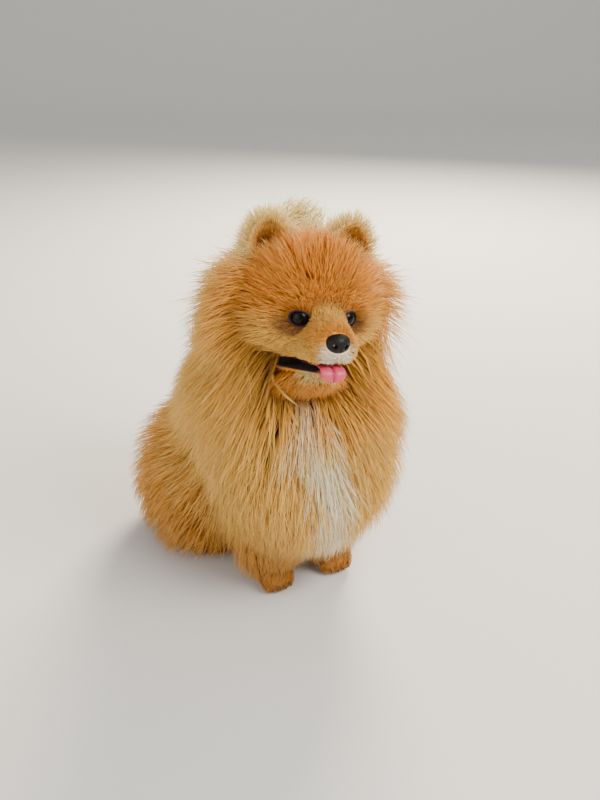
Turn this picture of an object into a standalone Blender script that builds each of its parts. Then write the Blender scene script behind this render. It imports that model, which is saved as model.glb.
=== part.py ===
"""A life-size pomeranian, sitting, mouth open and tail over its back, as a still museum model.

Run with: blender --background --python part.py
Units are metres. While it is modelled the dog faces -Y, its left side is +X, and the origin is on the
floor under the withers. The empty "dog" then moves the whole to its own base centre.
The flesh is a set of round forms. Each node is a core that follows its forms half way out through the
coat, and tapered locks that grow from the core along the lie of the hair, out to the coat's outline.
"""

import math

import bmesh
import bpy
import numpy as np
from mathutils import Matrix, Vector

GAP = 0.0003
SEED = 30
FLAT = math.radians(1.5)
CORE_SHARE = 0.5
FLOOR_CLEARANCE = 0.0012

HEAD_TURN = math.radians(-9.5)
HEAD_TILT = math.radians(7.5)
EYE = (0.0156, -0.0545, 0.2405)
EYE_RADIUS = 0.0080
EYE_TOE_OUT = math.radians(24)
NOSE = (0.0, -0.0885, 0.2335)
NOSE_SIZE = (0.0084, 0.0062, 0.0064)
SKULL = (0.0, -0.0270, 0.2475)
SKULL_SIZE = (0.0340, 0.0330, 0.0280)
CHEEK = (0.0190, -0.0330, 0.2340)
CHEEK_SIZE = (0.0180, 0.0220, 0.0180)
MUZZLE_ROOT = (0.0, -0.0540, 0.2350)
MUZZLE_TIP = (0.0, -0.0800, 0.2315)
BROW = (0.0120, -0.0480, 0.2525)
BROW_SIZE = (0.0090, 0.0075, 0.0070)
BRIDGE_ROOT = (0.0, -0.0540, 0.2405)
BRIDGE_TIP = (0.0, -0.0820, 0.2345)
WHISKER_PAD = (0.0062, -0.0765, 0.2275)
WHISKER_PAD_SIZE = (0.0085, 0.0100, 0.0078)
LIP_BACK = (0.0120, -0.0480, 0.2215)
LIP_FRONT = (0.0070, -0.0760, 0.2248)
LIP_RADII = (0.0095, 0.0076)
JAW_HINGE = (0.0, -0.0250, 0.1870)
CHIN = (0.0, -0.0680, 0.2000)
MOUTH_CORNER = (0.0, -0.0385, 0.2030)
MOUTH_RISE = math.radians(13)
MOUTH_GAPE = 0.0100
LID_SIZE = (0.0070, 0.0060)
LID_OUT = 0.0048
LID_THICKNESS = 0.0026
TONGUE_LINE = (
    (0.0, -0.0300, 0.2010),
    (0.0, -0.0540, 0.2070),
    (0.0, -0.0740, 0.2130),
    (0.0, -0.0840, 0.2142),
    (0.0, -0.0885, 0.2125),
    (0.0, -0.0898, 0.2090),
    (0.0, -0.0900, 0.2065),
)
TONGUE_TAPER = (0.70, 0.80, 0.88, 0.96, 1.0, 0.82, 0.40)
TONGUE_WIDTH = 0.0180
TONGUE_THICKNESS = 0.0032
PAW_WIDTH = 0.0230
PAW_LENGTH = 0.0160
CLAW_LENGTH = 0.0035
CLAW_RADIUS = 0.0011
EAR = (0.0300, -0.0120, 0.2785)
EAR_SIZE = (0.0175, 0.0095, 0.0210)
EAR_NARROWING = 0.28
EAR_OUT = math.radians(14)
EAR_BACK = math.radians(10)
EAR_TURN = math.radians(-4)
NAPE = (0.0, -0.0200, 0.2320)
NAPE_WAY = (0.0, 0.80, -0.60)
NECK_BASE = (0.0, 0.0, 0.1420)
SHOULDER = (0.0, 0.0350, 0.1500)
SHOULDER_WAY = (0.0, 0.75, -0.66)
BRISKET = (0.0, 0.0260, 0.1000)
LEG_TOP = (0.0, 0.0, 0.0480)
BODY_MIDDLE = (0.0, 0.0350, 0.1150)
HAUNCH = (0.0300, 0.0790, 0.0500)
HAUNCH_SIZE = (0.1500, 0.1040, 0.1700)
HAUNCH_LEAN = math.radians(20)
WITHERS = (0.0, 0.0040, 0.1500)
POLL = (0.0, -0.0100, 0.2230)
NECK_TOP = (0.0080, -0.0060, 0.2280)
FORECHEST = (0.0, -0.0220, 0.1200)
BACK_TOP = (0.0, 0.0200, 0.1350)
RUMP = (0.0, 0.0960, 0.0620)
THIGH = (0.0460, 0.0840, 0.0500)
THIGH_SIZE = (0.0260, 0.0450, 0.0420)
HOCK = (0.0500, 0.1080, 0.0130)
HIND_TOES = (0.0450, 0.0540, 0.0100)
ELBOW = (0.0260, -0.0020, 0.0950)
WRIST = (0.0270, -0.0060, 0.0240)
FORE_TOES = (0.0270, -0.0170, 0.0105)
TAIL_LINE = (
    (0.0, 0.118, 0.090),
    (0.0, 0.134, 0.118),
    (0.003, 0.126, 0.154),
    (0.009, 0.104, 0.194),
    (0.018, 0.076, 0.232),
    (0.026, 0.046, 0.266),
)
RUFF_CUTS = [(NECK_BASE, (0, 0, -1)), (SHOULDER, SHOULDER_WAY)]
CHEST_CUTS = [(NECK_BASE, (0, 0, 1)), (BRISKET, (0, 1, 0)), (LEG_TOP, (0, 0, -1))]
TORSO_CUTS = [(SHOULDER, [-step for step in SHOULDER_WAY]), (BRISKET, (0, -1, 0))]
TAIL_RADII = (0.013, 0.012, 0.010, 0.008, 0.0065, 0.005)

HEAD_FILLET = 0.008
BODY_FILLET = 0.014
COAT_BLEND = 0.014

COATS = {
    "head": 0.018,
    "neck": 0.052,
    "chest": 0.045,
    "torso": 0.038,
    "thigh": 0.029,
    "foreleg": 0.013,
    "tail": 0.036,
}

LOCKS = {
    "head": (0.0205, 0.028, 0.0200, 0.0024, 3),
    "neck": (0.0286, 0.066, 0.0350, 0.0036, 3),
    "chest": (0.0290, 0.050, 0.0330, 0.0036, 3),
    "torso": (0.0360, 0.056, 0.0350, 0.0036, 3),
    "thigh": (0.0310, 0.046, 0.0310, 0.0036, 3),
    "foreleg": (0.0220, 0.026, 0.0210, 0.0030, 3),
    "tail": (0.0310, 0.064, 0.0300, 0.0038, 3),
}
LOCK_SWAY = 0.12
LOCK_BEND = 0.18
ROOT_SINK = 0.007
LOCK_EDGE_ROOM = 10.0
ROOT_DRAWS = 9000
ROOT_BOX = ((-0.12, -0.12, 0.0), (0.12, 0.20, 0.33))
ROOT_FLOOR = 0.012

COLOURS = {
    "rust": ((0.58, 0.25, 0.08), 0.85),
    "gold": ((0.72, 0.45, 0.20), 0.85),
    "cream": ((0.86, 0.70, 0.46), 0.85),
    "white": ((0.90, 0.86, 0.76), 0.85),
    "eye": ((0.015, 0.010, 0.010), 0.05),
    "leather": ((0.015, 0.014, 0.015), 0.35),
    "tongue": ((0.80, 0.26, 0.34), 0.35),
    "claw": ((0.10, 0.08, 0.07), 0.45),
}


# Forms of flesh: each is a function from points to their distance outside its surface


def ball(centre, size):
    """An ellipsoid."""
    centre = np.array(centre)
    size = np.array(size)

    def distance(points):
        offset = points - centre
        inner = np.linalg.norm(offset / size, axis=-1)
        slope = np.linalg.norm(offset / size**2, axis=-1)
        return inner * (inner - 1) / np.maximum(slope, 1e-9)

    return distance


def limb(start, end, start_radius, end_radius):
    """A round cone between two centres."""
    start = np.array(start)
    along = np.array(end) - start

    def distance(points):
        share = np.clip((points - start) @ along / (along @ along), 0, 1)
        radius = start_radius + share * (end_radius - start_radius)
        return np.linalg.norm(points - start - share[..., None] * along, axis=-1) - radius

    return distance


def chain(line, radii):
    """A row of limbs, end to end."""
    parts = [limb(*pair) for pair in zip(line, line[1:], radii, radii[1:])]
    return lambda points: np.min([part(points) for part in parts], axis=0)


def melt(forms, softness):
    """The forms as one, with a smooth fillet about as wide as softness where they meet."""

    def distance(points):
        nearest = forms[0](points)
        for form in forms[1:]:
            other = form(points)
            share = np.clip(0.5 + 0.5 * (other - nearest) / softness, 0, 1)
            nearest = other * (1 - share) + nearest * share - softness * share * (1 - share)
        return nearest

    return distance


def mirrored(form):
    """The form on the dog's left, and its mirror image on the right."""
    return lambda points: form(np.stack([abs(points[..., 0]), points[..., 1], points[..., 2]], -1))


def head_matrix():
    """Turns and tilts the straight head about its joint with the neck."""
    joint = Vector(POLL)
    turn = Matrix.Rotation(HEAD_TURN, 4, "Z") @ Matrix.Rotation(HEAD_TILT, 4, "Y")
    return Matrix.Translation(joint) @ turn @ Matrix.Translation(-joint)


HEAD = head_matrix()
HEAD_WAYS = np.array(HEAD.to_3x3())


def turned(point):
    """Where a point of the straight head lies once the head is turned and tilted."""
    return HEAD_WAYS @ (np.array(point) - POLL) + POLL


NAPE_CUT = (turned(NAPE), HEAD_WAYS @ NAPE_WAY)


def on_head(form):
    """A form of the straight head, turned and tilted with the head."""
    return lambda points: form((points - POLL) @ HEAD_WAYS + POLL)


def side(point, sign):
    """The point on the dog's left for sign 1, on its right for sign -1."""
    return (point[0] * sign, point[1], point[2])


def flesh_forms():
    """The flesh of each part of the body, as distance functions."""
    skull = ball(SKULL, SKULL_SIZE)
    cheek = mirrored(ball(CHEEK, CHEEK_SIZE))
    brow = mirrored(ball(BROW, BROW_SIZE))
    muzzle = limb(MUZZLE_ROOT, MUZZLE_TIP, 0.0150, 0.0105)
    bridge = limb(BRIDGE_ROOT, BRIDGE_TIP, 0.0085, 0.0062)
    whisker_pad = mirrored(ball(WHISKER_PAD, WHISKER_PAD_SIZE))
    lip = mirrored(limb(LIP_BACK, LIP_FRONT, *LIP_RADII))
    return {
        "head": on_head(melt([skull, cheek, brow, muzzle, bridge, whisker_pad, lip], HEAD_FILLET)),
        "neck": limb(WITHERS, NECK_TOP, 0.040, 0.036),
        "chest": ball(FORECHEST, (0.042, 0.034, 0.052)),
        "torso": limb(BACK_TOP, RUMP, 0.048, 0.048),
        "thigh": mirrored(ball(THIGH, THIGH_SIZE)),
        "foreleg": mirrored(limb(ELBOW, WRIST, 0.015, 0.0095)),
        "tail": chain(TAIL_LINE, TAIL_RADII),
    }


FLESH = flesh_forms()
BODY_PARTS = ("neck", "chest", "torso", "thigh", "foreleg")


def coat_depth(points):
    """The coat's depth on the body: that of the nearest part, with a smooth change between parts."""
    total = np.zeros(points.shape[:-1])
    weights = np.zeros(points.shape[:-1])
    for part in BODY_PARTS:
        weight = np.exp(-np.clip(FLESH[part](points), -0.02, 0.2) / COAT_BLEND)
        total += weight * part_coat(part, points)
        weights += weight
    return total / weights


def ramp(value, low, high):
    """0 below low, 1 above high, and smooth between them."""
    share = np.clip((value - low) / (high - low), 0, 1)
    return share * share * (3 - 2 * share)


def part_coat(part, points):
    """The depth of one part's coat. It is short on the face, and the ruff leaves the face free."""
    depth = COATS[part]
    if part == "head":
        from_nose = np.linalg.norm(points - turned(NOSE), axis=-1)
        return 0.002 + (depth - 0.002) * ramp(from_nose, 0.035, 0.080)
    if part == "neck":
        before_face = (points - turned((0, -0.020, 0.235))) @ HEAD_WAYS @ (0, -0.92, 0.39)
        height = points[..., 2]
        over_head = ramp(height, 0.245, 0.300)
        mane = ramp(height, 0.190, 0.225) * (1 - ramp(height, 0.255, 0.290))
        face = ramp(before_face, 0.000, 0.034) * ramp(height, 0.184, 0.212)
        return depth * (1 - 0.92 * face) * (1 + 0.30 * mane) * (1 - 0.12 * over_head)
    return np.full(points.shape[:-1], depth)


def body_distance(points):
    """Distance outside the flesh of the body, without the head and the tail."""
    return melt([FLESH[part] for part in BODY_PARTS], BODY_FILLET)(points)


def slope_of(function, points):
    """The direction in which a function grows fastest, as unit vectors."""
    step = 1e-4
    rises = [function(points + step * axis) - function(points - step * axis) for axis in np.eye(3)]
    slope = np.stack(rises, -1)
    return slope / np.maximum(np.linalg.norm(slope, axis=-1, keepdims=True), 1e-12)


# Meshes


def piece(name, build, matrix=None):
    """A new mesh object from a function that fills a bmesh, placed by a matrix. Its faces point out."""
    mesh = bpy.data.meshes.new(name)
    shape = bmesh.new()
    build(shape)
    if matrix is not None:
        bmesh.ops.transform(shape, matrix=matrix, verts=shape.verts)
    bmesh.ops.triangulate(shape, faces=shape.faces, quad_method="FIXED")
    bmesh.ops.recalc_face_normals(shape, faces=shape.faces)
    shape.to_mesh(mesh)
    shape.free()
    made = bpy.data.objects.new(name, mesh)
    bpy.context.scene.collection.objects.link(made)
    return made


def pole_matrix(centre, pole):
    """Puts a sphere's north pole along a direction, and its centre at a point."""
    return Matrix.Translation(Vector(centre)) @ Vector(pole).to_track_quat("Z", "Y").to_matrix().to_4x4()


def core(name, centre, level, sides, rings, pole=(0, 0, 1), reach=0.2):
    """A sphere whose points are pushed out from the centre to where level, a function of points, is zero."""

    def build(shape):
        bmesh.ops.create_uvsphere(shape, u_segments=sides, v_segments=rings, radius=1)
        bmesh.ops.transform(shape, matrix=pole_matrix((0, 0, 0), pole), verts=shape.verts)
        rays = np.array([vert.co for vert in shape.verts])
        rays /= np.linalg.norm(rays, axis=1, keepdims=True)
        start = np.array(centre)
        low = np.zeros(len(rays))
        high = np.full(len(rays), reach)
        for share in np.linspace(0, 1, 81)[1:]:
            outside = level(start + share * reach * rays) > 0
            first = outside & (high == reach)
            high[first] = share * reach
            low[~outside & (high == reach)] = share * reach
        for _ in range(18):
            middle = (low + high) / 2
            outside = level(start + middle[:, None] * rays) > 0
            high = np.where(outside, middle, high)
            low = np.where(outside, low, middle)
        for vert, place in zip(shape.verts, start + high[:, None] * rays):
            vert.co = place

    return piece(name, build)


def egg(name, centre, size, sides=12, rings=8, matrix=None):
    """An ellipsoid, placed by a further matrix if one is given."""

    def build(shape):
        bmesh.ops.create_uvsphere(shape, u_segments=sides, v_segments=rings, radius=1)
        bmesh.ops.scale(shape, vec=size, verts=shape.verts)

    place = Matrix.Translation(Vector(centre))
    return piece(name, build, place if matrix is None else matrix @ place)


def tube(name, line, widths, heights, side_way, sides=10):
    """A closed tube along a line, with an elliptical section. side_way is the direction of its width."""

    def build(shape):
        rings = []
        for i, centre in enumerate(line):
            here = Vector(centre)
            along = (Vector(line[min(i + 1, len(line) - 1)]) - Vector(line[max(i - 1, 0)])).normalized()
            up = Vector(side_way).cross(along).normalized()
            across = along.cross(up)
            ring = []
            for k in range(sides):
                angle = math.tau * k / sides
                offset = across * math.cos(angle) * widths[i] + up * math.sin(angle) * heights[i]
                ring.append(shape.verts.new(here + offset))
            rings.append(ring)
        for one, other in zip(rings, rings[1:]):
            for k in range(sides):
                after = (k + 1) % sides
                shape.faces.new((one[k], one[after], other[after], other[k]))
        shape.faces.new(rings[0])
        shape.faces.new(rings[-1])

    return piece(name, build)


def slab(name, centre, size, matrix=None):
    """A box, used to cut."""

    def build(shape):
        bmesh.ops.create_cube(shape, size=1)
        bmesh.ops.scale(shape, vec=size, verts=shape.verts)

    place = Matrix.Translation(Vector(centre))
    return piece(name, build, place if matrix is None else matrix @ place)


def combine(target, others, operation):
    """Joins the other objects to the target, or cuts them from it, and leaves them as they are."""
    group = bpy.data.collections.new("group")
    for other in others:
        group.objects.link(other)
    modifier = target.modifiers.new(operation, "BOOLEAN")
    modifier.operation = operation
    modifier.operand_type = "COLLECTION"
    modifier.collection = group
    modifier.solver = "MANIFOLD"
    graph = bpy.context.evaluated_depsgraph_get()
    mesh = bpy.data.meshes.new_from_object(target.evaluated_get(graph))
    target.modifiers.clear()
    target.data = mesh
    bpy.data.collections.remove(group)


def remove(objects):
    """Takes objects out of the model."""
    for item in objects:
        bpy.data.objects.remove(item)


def fused(pieces):
    """The first of the pieces, with the others joined to it."""
    if len(pieces) > 1:
        combine(pieces[0], pieces[1:], "UNION")
        remove(pieces[1:])
    return pieces[0]


def cut(target, cutters):
    """Cuts the cutters from the target and removes them."""
    combine(target, cutters, "DIFFERENCE")
    remove(cutters)
    return target


def keep_largest(target):
    """Drops every closed surface of the target but its largest."""
    shape = bmesh.new()
    shape.from_mesh(target.data)
    unseen = set(shape.verts)
    shells = []
    while unseen:
        shell = set()
        front = [unseen.pop()]
        while front:
            vert = front.pop()
            shell.add(vert)
            for edge in vert.link_edges:
                other = edge.other_vert(vert)
                if other in unseen:
                    unseen.remove(other)
                    front.append(other)
        shells.append(shell)

    def volume(shell):
        faces = {face for vert in shell for face in vert.link_faces}
        return sum(face.calc_area() * face.calc_center_median().dot(face.normal) for face in faces)

    largest = max(shells, key=volume)
    loose = [vert for shell in shells if shell is not largest for vert in shell]
    bmesh.ops.delete(shape, geom=loose, context="VERTS")
    shape.to_mesh(target.data)
    shape.free()
    return target


# Locks of hair


def unit(vectors):
    """The vectors at length 1."""
    return vectors / np.maximum(np.linalg.norm(vectors, axis=-1, keepdims=True), 1e-9)


def lie_of_neck(points):
    """Out from behind the face, and more and more downward below the jaw."""
    out = unit(points - turned((0, -0.030, 0.235)))
    fall = ramp(0.262 - points[..., 2], 0.0, 0.085)[..., None]
    return unit(out * (1.15 - fall) + np.array([0, 0.08, -1.0]) * fall)


def lie_of_chest(points):
    """Down, and a little outward."""
    still = np.ones(points.shape[:-1])
    return unit(np.stack([points[..., 0] * 3.0, -0.10 * still, -1.0 * still], -1))


def lie_of_torso(points):
    """Down and back."""
    still = np.ones(points.shape[:-1])
    return unit(np.stack([points[..., 0] * 3.0, 0.75 * still, -0.85 * still], -1))


def lie_of_thigh(points):
    """Down, back and outward."""
    still = np.ones(points.shape[:-1])
    return unit(np.stack([points[..., 0] * 4.0, 0.40 * still, -0.95 * still], -1))


def lie_of_foreleg(points):
    """Down, with the feathers swept back."""
    still = np.ones(points.shape[:-1])
    return unit(np.stack([0 * still, 0.25 * still, -1.0 * still], -1))


def lie_of_tail(points):
    """Towards the tail's tip, and out from its line."""
    line = np.array(TAIL_LINE)
    nearest = np.argmin(np.linalg.norm(points[:, None] - line[None], axis=-1), axis=1)
    ahead = unit(line[np.minimum(nearest + 1, len(line) - 1)] - line[np.maximum(nearest - 1, 0)])
    return unit(ahead + 0.55 * unit(points - line[nearest]))


def lie_of_head(points):
    """Away from the nose."""
    return unit(unit(points - turned(NOSE)) + np.array([0, 0.25, -0.1]))


LIES = {
    "head": lie_of_head,
    "neck": lie_of_neck,
    "chest": lie_of_chest,
    "torso": lie_of_torso,
    "thigh": lie_of_thigh,
    "foreleg": lie_of_foreleg,
    "tail": lie_of_tail,
}


def lie_of_coat(points):
    """The way the hair lies: that of the nearest part, with a smooth change between parts."""
    total = np.zeros(points.shape)
    for part in BODY_PARTS:
        weight = np.exp(-np.clip(FLESH[part](points), -0.02, 0.2) / COAT_BLEND)
        total += weight[..., None] * LIES[part](points)
    return unit(total)


def own_coat(part):
    """The depth of one part's coat, as a function of points."""
    return lambda points: part_coat(part, points)


BODY_FIELD = (body_distance, coat_depth, lie_of_coat)


def root_points(field, spacing, seed, allowed):
    """Points spread evenly over the core, where allowed, a function of points, is true."""
    distance, depth, _ = field
    points = np.random.default_rng(seed).uniform(*ROOT_BOX, (ROOT_DRAWS, 3))
    for _ in range(5):
        off = distance(points) - CORE_SHARE * depth(points)
        points = points - off[:, None] * slope_of(distance, points)
    off = distance(points) - CORE_SHARE * depth(points)
    points = points[(np.abs(off) < GAP) & (points[:, 2] > ROOT_FLOOR) & allowed(points)]
    room = np.full(len(points), np.inf)
    kept = []
    while room.max() > spacing:
        kept.append(points[np.argmax(room)])
        room = np.minimum(room, np.linalg.norm(points - kept[-1], axis=1))
    return np.array(kept)


def lock_lines(roots, field, length, seed, rings, sink):
    """Lines from sunk roots along the lie of the hair. They rise to the coat's outline and keep off the floor."""
    distance, depth, lie = field
    draw = np.random.default_rng(seed)
    sway = draw.uniform(-LOCK_SWAY, LOCK_SWAY, len(roots))
    bend = draw.uniform(-LOCK_BEND, LOCK_BEND, len(roots))
    lengths = length * draw.uniform(0.85, 1.15, len(roots))
    tips = draw.uniform(0.90, 1.03, len(roots))
    points = roots.copy()
    start = np.clip(distance(points) / depth(points), 0.2, 0.8)
    lines = []
    normals = []
    for i in range(rings + 1):
        normal = slope_of(distance, points)
        way = lie(points)
        way = unit(way - (way * normal).sum(-1, keepdims=True) * normal)
        angle = (sway + bend * i / rings)[:, None]
        way = way * np.cos(angle) + np.cross(normal, way) * np.sin(angle)
        if i == 0:
            lines.append(points - sink * normal - 0.3 * sink * way)
        else:
            points = points + way * (lengths / rings)[:, None]
            goal = start + (tips - start) * (i / rings) ** 0.8
            for _ in range(4):
                off = goal * depth(points) - distance(points)
                points = points + slope_of(distance, points) * np.clip(off, -0.02, 0.02)[:, None]
            points[:, 2] = np.maximum(points[:, 2], FLOOR_CLEARANCE + 0.0010)
            lines.append(points.copy())
        normals.append(normal)
    return np.stack(lines, 1), np.stack(normals, 1)


def lock(line, normals, width, thickness, grow):
    """A flat, tapered lock with a ridge along its back. A grown one holds the lock with the gap all round."""

    def build(shape):
        rings = []
        for i in range(len(line) - 1):
            share = i / (len(line) - 1)
            size = min(1, 0.75 + share) * (1 - share**2.2)
            along = unit(line[i + 1] - line[max(i - 1, 0)])
            across = unit(np.cross(along, normals[i]))
            out = np.cross(across, along)
            half = across * (size * width / 2 + LOCK_EDGE_ROOM * grow)
            back = out * (size * thickness + 4 * grow)
            here = line[i] - 2 * grow * out - (along * grow if i == 0 else 0)
            rings.append([shape.verts.new(place) for place in (here - half, here + half, here + back)])
        tip = shape.verts.new(line[-1] + 6 * grow * unit(line[-1] - line[-2]))
        for one, other in zip(rings, rings[1:]):
            for k in range(3):
                after = (k + 1) % 3
                shape.faces.new((one[k], one[after], other[after], other[k]))
        for k in range(3):
            shape.faces.new((rings[-1][k], rings[-1][(k + 1) % 3], tip))
        shape.faces.new(rings[0])

    return piece("lock", build)


def coat_plan(name):
    """The line, normals, width and thickness of each lock of a node."""
    part = name.split("_")[0]
    if part not in LOCKS:
        return []
    field = (FLESH[part], own_coat(part), LIES[part]) if part in ("head", "tail") else BODY_FIELD
    spacing, length, width, thickness, rings = LOCKS[part]
    seed = SEED + sum(ord(letter) for letter in name)
    roots = root_points(field, spacing, seed, ROOT_RULES[name])
    lines, normals = lock_lines(roots, field, length, seed, rings, ROOT_SINK)
    sizes = np.random.default_rng(seed).uniform(0.85, 1.15, len(lines))
    return [(*pair, size * width, size * thickness) for *pair, size in zip(lines, normals, sizes)]


def part_level(part, grow):
    """Zero on the core of one part by itself, some way out through its own coat."""
    return lambda points: FLESH[part](points) - CORE_SHARE * part_coat(part, points) - grow


def body_level(grow):
    """Zero on the body's core, some way out through the coat."""
    return lambda points: body_distance(points) - CORE_SHARE * coat_depth(points) - grow


def past(point, normal, grow):
    """A block that fills all the space past a plane, less half the gap, to cut a node off there."""
    start = (grow - GAP) / 2
    return slab("past", (0, 0, 0.5 + start), (1, 1, 1), pole_matrix(point, normal))


def before(points, planes):
    """True for the points that lie past none of the planes."""
    return np.all([(points - point) @ np.array(normal) < 0 for point, normal in planes], axis=0)


# Features of the head, modelled on the straight head and then turned with it


def eye(sign, grow):
    """An eyeball."""
    return [egg("eye", side(EYE, sign), [EYE_RADIUS + grow] * 3, 12, 9, HEAD)]


def eye_axis(sign):
    """A frame at the eye whose Z looks out of it."""
    out = Vector((sign * math.sin(EYE_TOE_OUT), -math.cos(EYE_TOE_OUT), 0.10))
    return Matrix.Translation(Vector(side(EYE, sign))) @ out.to_track_quat("Z", "Y").to_matrix().to_4x4()


def lid(sign):
    """The rim of both eyelids: an almond-shaped ring that lies on the eyeball."""
    around = 16
    section = 5

    def build(shape):
        rings = []
        for i in range(around):
            angle = math.tau * i / around
            middle = Vector((LID_SIZE[0] * math.cos(angle), LID_SIZE[1] * math.sin(angle), LID_OUT))
            out = Vector((middle.x, middle.y, 0)).normalized()
            ring = []
            for k in range(section):
                turn = math.tau * k / section
                offset = out * math.cos(turn) + Vector((0, 0, 1)) * math.sin(turn)
                ring.append(shape.verts.new(middle + LID_THICKNESS / 2 * offset))
            rings.append(ring)
        for i in range(around):
            one = rings[i]
            other = rings[(i + 1) % around]
            for k in range(section):
                after = (k + 1) % section
                shape.faces.new((one[k], one[after], other[after], other[k]))

    return piece("lid", build, HEAD @ eye_axis(sign))


def nose(grow):
    """The nose leather, with its two nostrils."""
    leather = egg("nose", NOSE, [size + grow for size in NOSE_SIZE], 12, 9, HEAD)
    if grow:
        return [leather]
    holes = []
    for sign in (1, -1):
        place = (NOSE[0] + sign * 0.0046, NOSE[1] - NOSE_SIZE[1], NOSE[2] - 0.0006)
        holes.append(egg("nostril", place, (0.0017, 0.0032, 0.0013), 8, 5, HEAD))
    holes.append(slab("groove", (0, NOSE[1] - NOSE_SIZE[1], NOSE[2] - 0.0055), (0.0007, 0.004, 0.007), HEAD))
    return [cut(leather, holes)]


def tongue(grow):
    """The tongue, out over the lower lip and down, with a groove along its middle."""
    line = [Vector(point) for point in TONGUE_LINE]
    widths = [TONGUE_WIDTH / 2 * share + grow for share in TONGUE_TAPER]
    heights = [TONGUE_THICKNESS / 2 * (0.4 + 0.6 * share) + grow for share in TONGUE_TAPER]
    body = tube("tongue", line, widths, heights, (1, 0, 0), 10)
    body.data.transform(HEAD)
    if grow:
        return [body]
    above = [point + Vector((0, -0.55, 0.85)) * 0.0018 for point in line]
    groove = tube("groove", above, [0.0009] * len(line), [0.0009] * len(line), (1, 0, 0), 6)
    groove.data.transform(HEAD)
    return [cut(body, [groove])]


def ear_matrix(sign):
    """A frame at the ear's middle: Z up the ear, -Y out of its cup."""
    lean = Matrix.Rotation(sign * EAR_OUT, 4, "Y") @ Matrix.Rotation(-EAR_BACK, 4, "X")
    return Matrix.Translation(Vector(side(EAR, sign))) @ lean @ Matrix.Rotation(sign * EAR_TURN, 4, "Z")


def ear_shell(name, sign, size, place, sides=12, rings=8):
    """An ear's round form, which narrows to its tip."""

    def build(shape):
        bmesh.ops.create_uvsphere(shape, u_segments=sides, v_segments=rings, radius=1)
        for vert in shape.verts:
            narrow = 1 - EAR_NARROWING * max(vert.co.z, 0) ** 1.5
            vert.co.x *= narrow
            vert.co = Vector(place) + Vector((vert.co.x * size[0], vert.co.y * size[1], vert.co.z * size[2]))

    return piece(name, build, HEAD @ ear_matrix(sign))


def ear(sign, grow):
    """A cupped ear."""
    shell = ear_shell("ear", sign, [size + grow for size in EAR_SIZE], (0, 0, 0))
    if grow:
        return [shell]
    inner = (EAR_SIZE[0] - 0.0030, EAR_SIZE[1] - 0.0005, EAR_SIZE[2] - 0.0032)
    cup = ear_shell("cup", sign, inner, (0, -0.0055, 0.0012))
    return [cut(shell, [cup])]


def jaw(grow):
    """The lower jaw, broad at its back, with its lip."""
    line = [Vector(JAW_HINGE).lerp(Vector(CHIN), share) for share in (0.0, 0.35, 0.7, 0.92, 1.04, 1.12)]
    widths = [size + grow for size in (0.0220, 0.0190, 0.0140, 0.0100, 0.0075, 0.0035)]
    heights = [size + grow for size in (0.0075, 0.0068, 0.0056, 0.0048, 0.0038, 0.0020)]
    body = tube("jaw", line, widths, heights, (1, 0, 0), 12)
    body.data.transform(HEAD)
    return [body]


def mouth_distance(points):
    """Distance outside the room between the open jaws."""
    offset = (points - POLL) @ HEAD_WAYS + POLL - MOUTH_CORNER
    ahead = offset[..., 2] * math.sin(MOUTH_RISE) - offset[..., 1] * math.cos(MOUTH_RISE)
    above = offset[..., 2] * math.cos(MOUTH_RISE) + offset[..., 1] * math.sin(MOUTH_RISE)
    return np.hypot(np.minimum(ahead, 0), above) - MOUTH_GAPE / 2


def mouth_slot():
    """The room between the open jaws: a slot that rises forward from its round back end."""

    def build(shape):
        ahead = Vector((0, -math.cos(MOUTH_RISE), math.sin(MOUTH_RISE)))
        above = Vector((0, math.sin(MOUTH_RISE), math.cos(MOUTH_RISE)))
        corner = Vector(MOUTH_CORNER)
        profile = [corner + 0.07 * ahead + sign * MOUTH_GAPE / 2 * above for sign in (-1, 1)]
        for k in range(7):
            angle = math.pi * (0.5 - k / 6)
            profile.append(corner + MOUTH_GAPE / 2 * (math.sin(angle) * above - math.cos(angle) * ahead))
        rings = []
        for x in (-0.032, 0.032):
            rings.append([shape.verts.new(place + Vector((x, 0, 0))) for place in profile])
        shape.faces.new(rings[0])
        shape.faces.new(rings[1])
        for k in range(len(profile)):
            after = (k + 1) % len(profile)
            shape.faces.new((rings[0][k], rings[0][after], rings[1][after], rings[1][k]))

    return piece("mouth", build, HEAD)


def head(grow):
    """The skull, cheeks and muzzle under their short coat, with the lids and the open mouth."""
    body = core("head", turned((0, -0.045, 0.240)), part_level("head", grow), 28, 18, HEAD_WAYS @ (0, -1, 0))
    cutters = [past(*NAPE_CUT, 2 * grow)]
    if not grow:
        body = fused([body, lid(1), lid(-1)])
        cutters.append(mouth_slot())
    return [cut(body, cutters)]


def long_haired(points):
    """True on the crown and the cheeks, and false on the face, past the nape and at the ears."""
    clear = (part_coat("head", points) > 0.0105) & before(points, [NAPE_CUT]) & (mouth_distance(points) > 0.012)
    for sign in (1, -1):
        clear &= np.linalg.norm(points - turned(side(EAR, sign)), axis=-1) > 0.020
    return clear


# Parts of the body: one core, parted by planes


def body_core(grow):
    """The body without head, forelegs, paws and tail, half way out through its coat."""
    return core("body", BODY_MIDDLE, body_level(grow), 23, 18)


def ruff(grow):
    """The neck, from the shoulders up, clear of the open mouth."""
    return [cut(body_core(grow), [past(*plane, grow) for plane in RUFF_CUTS])]


def round_the_face(points):
    """True on the outside of the ruff's core, in front up to the jaw."""
    outside = (coat_depth(points) > 0.016) & (FLESH["head"](points) > 0.003) & (mouth_distance(points) > 0.006)
    return outside & before(points, RUFF_CUTS)


def frill(grow):
    """The chest, from the ruff down to the legs."""
    return [cut(body_core(grow), [past(*plane, grow) for plane in CHEST_CUTS])]


def on_chest(points):
    """True on the chest's outside."""
    return before(points, CHEST_CUTS)


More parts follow.
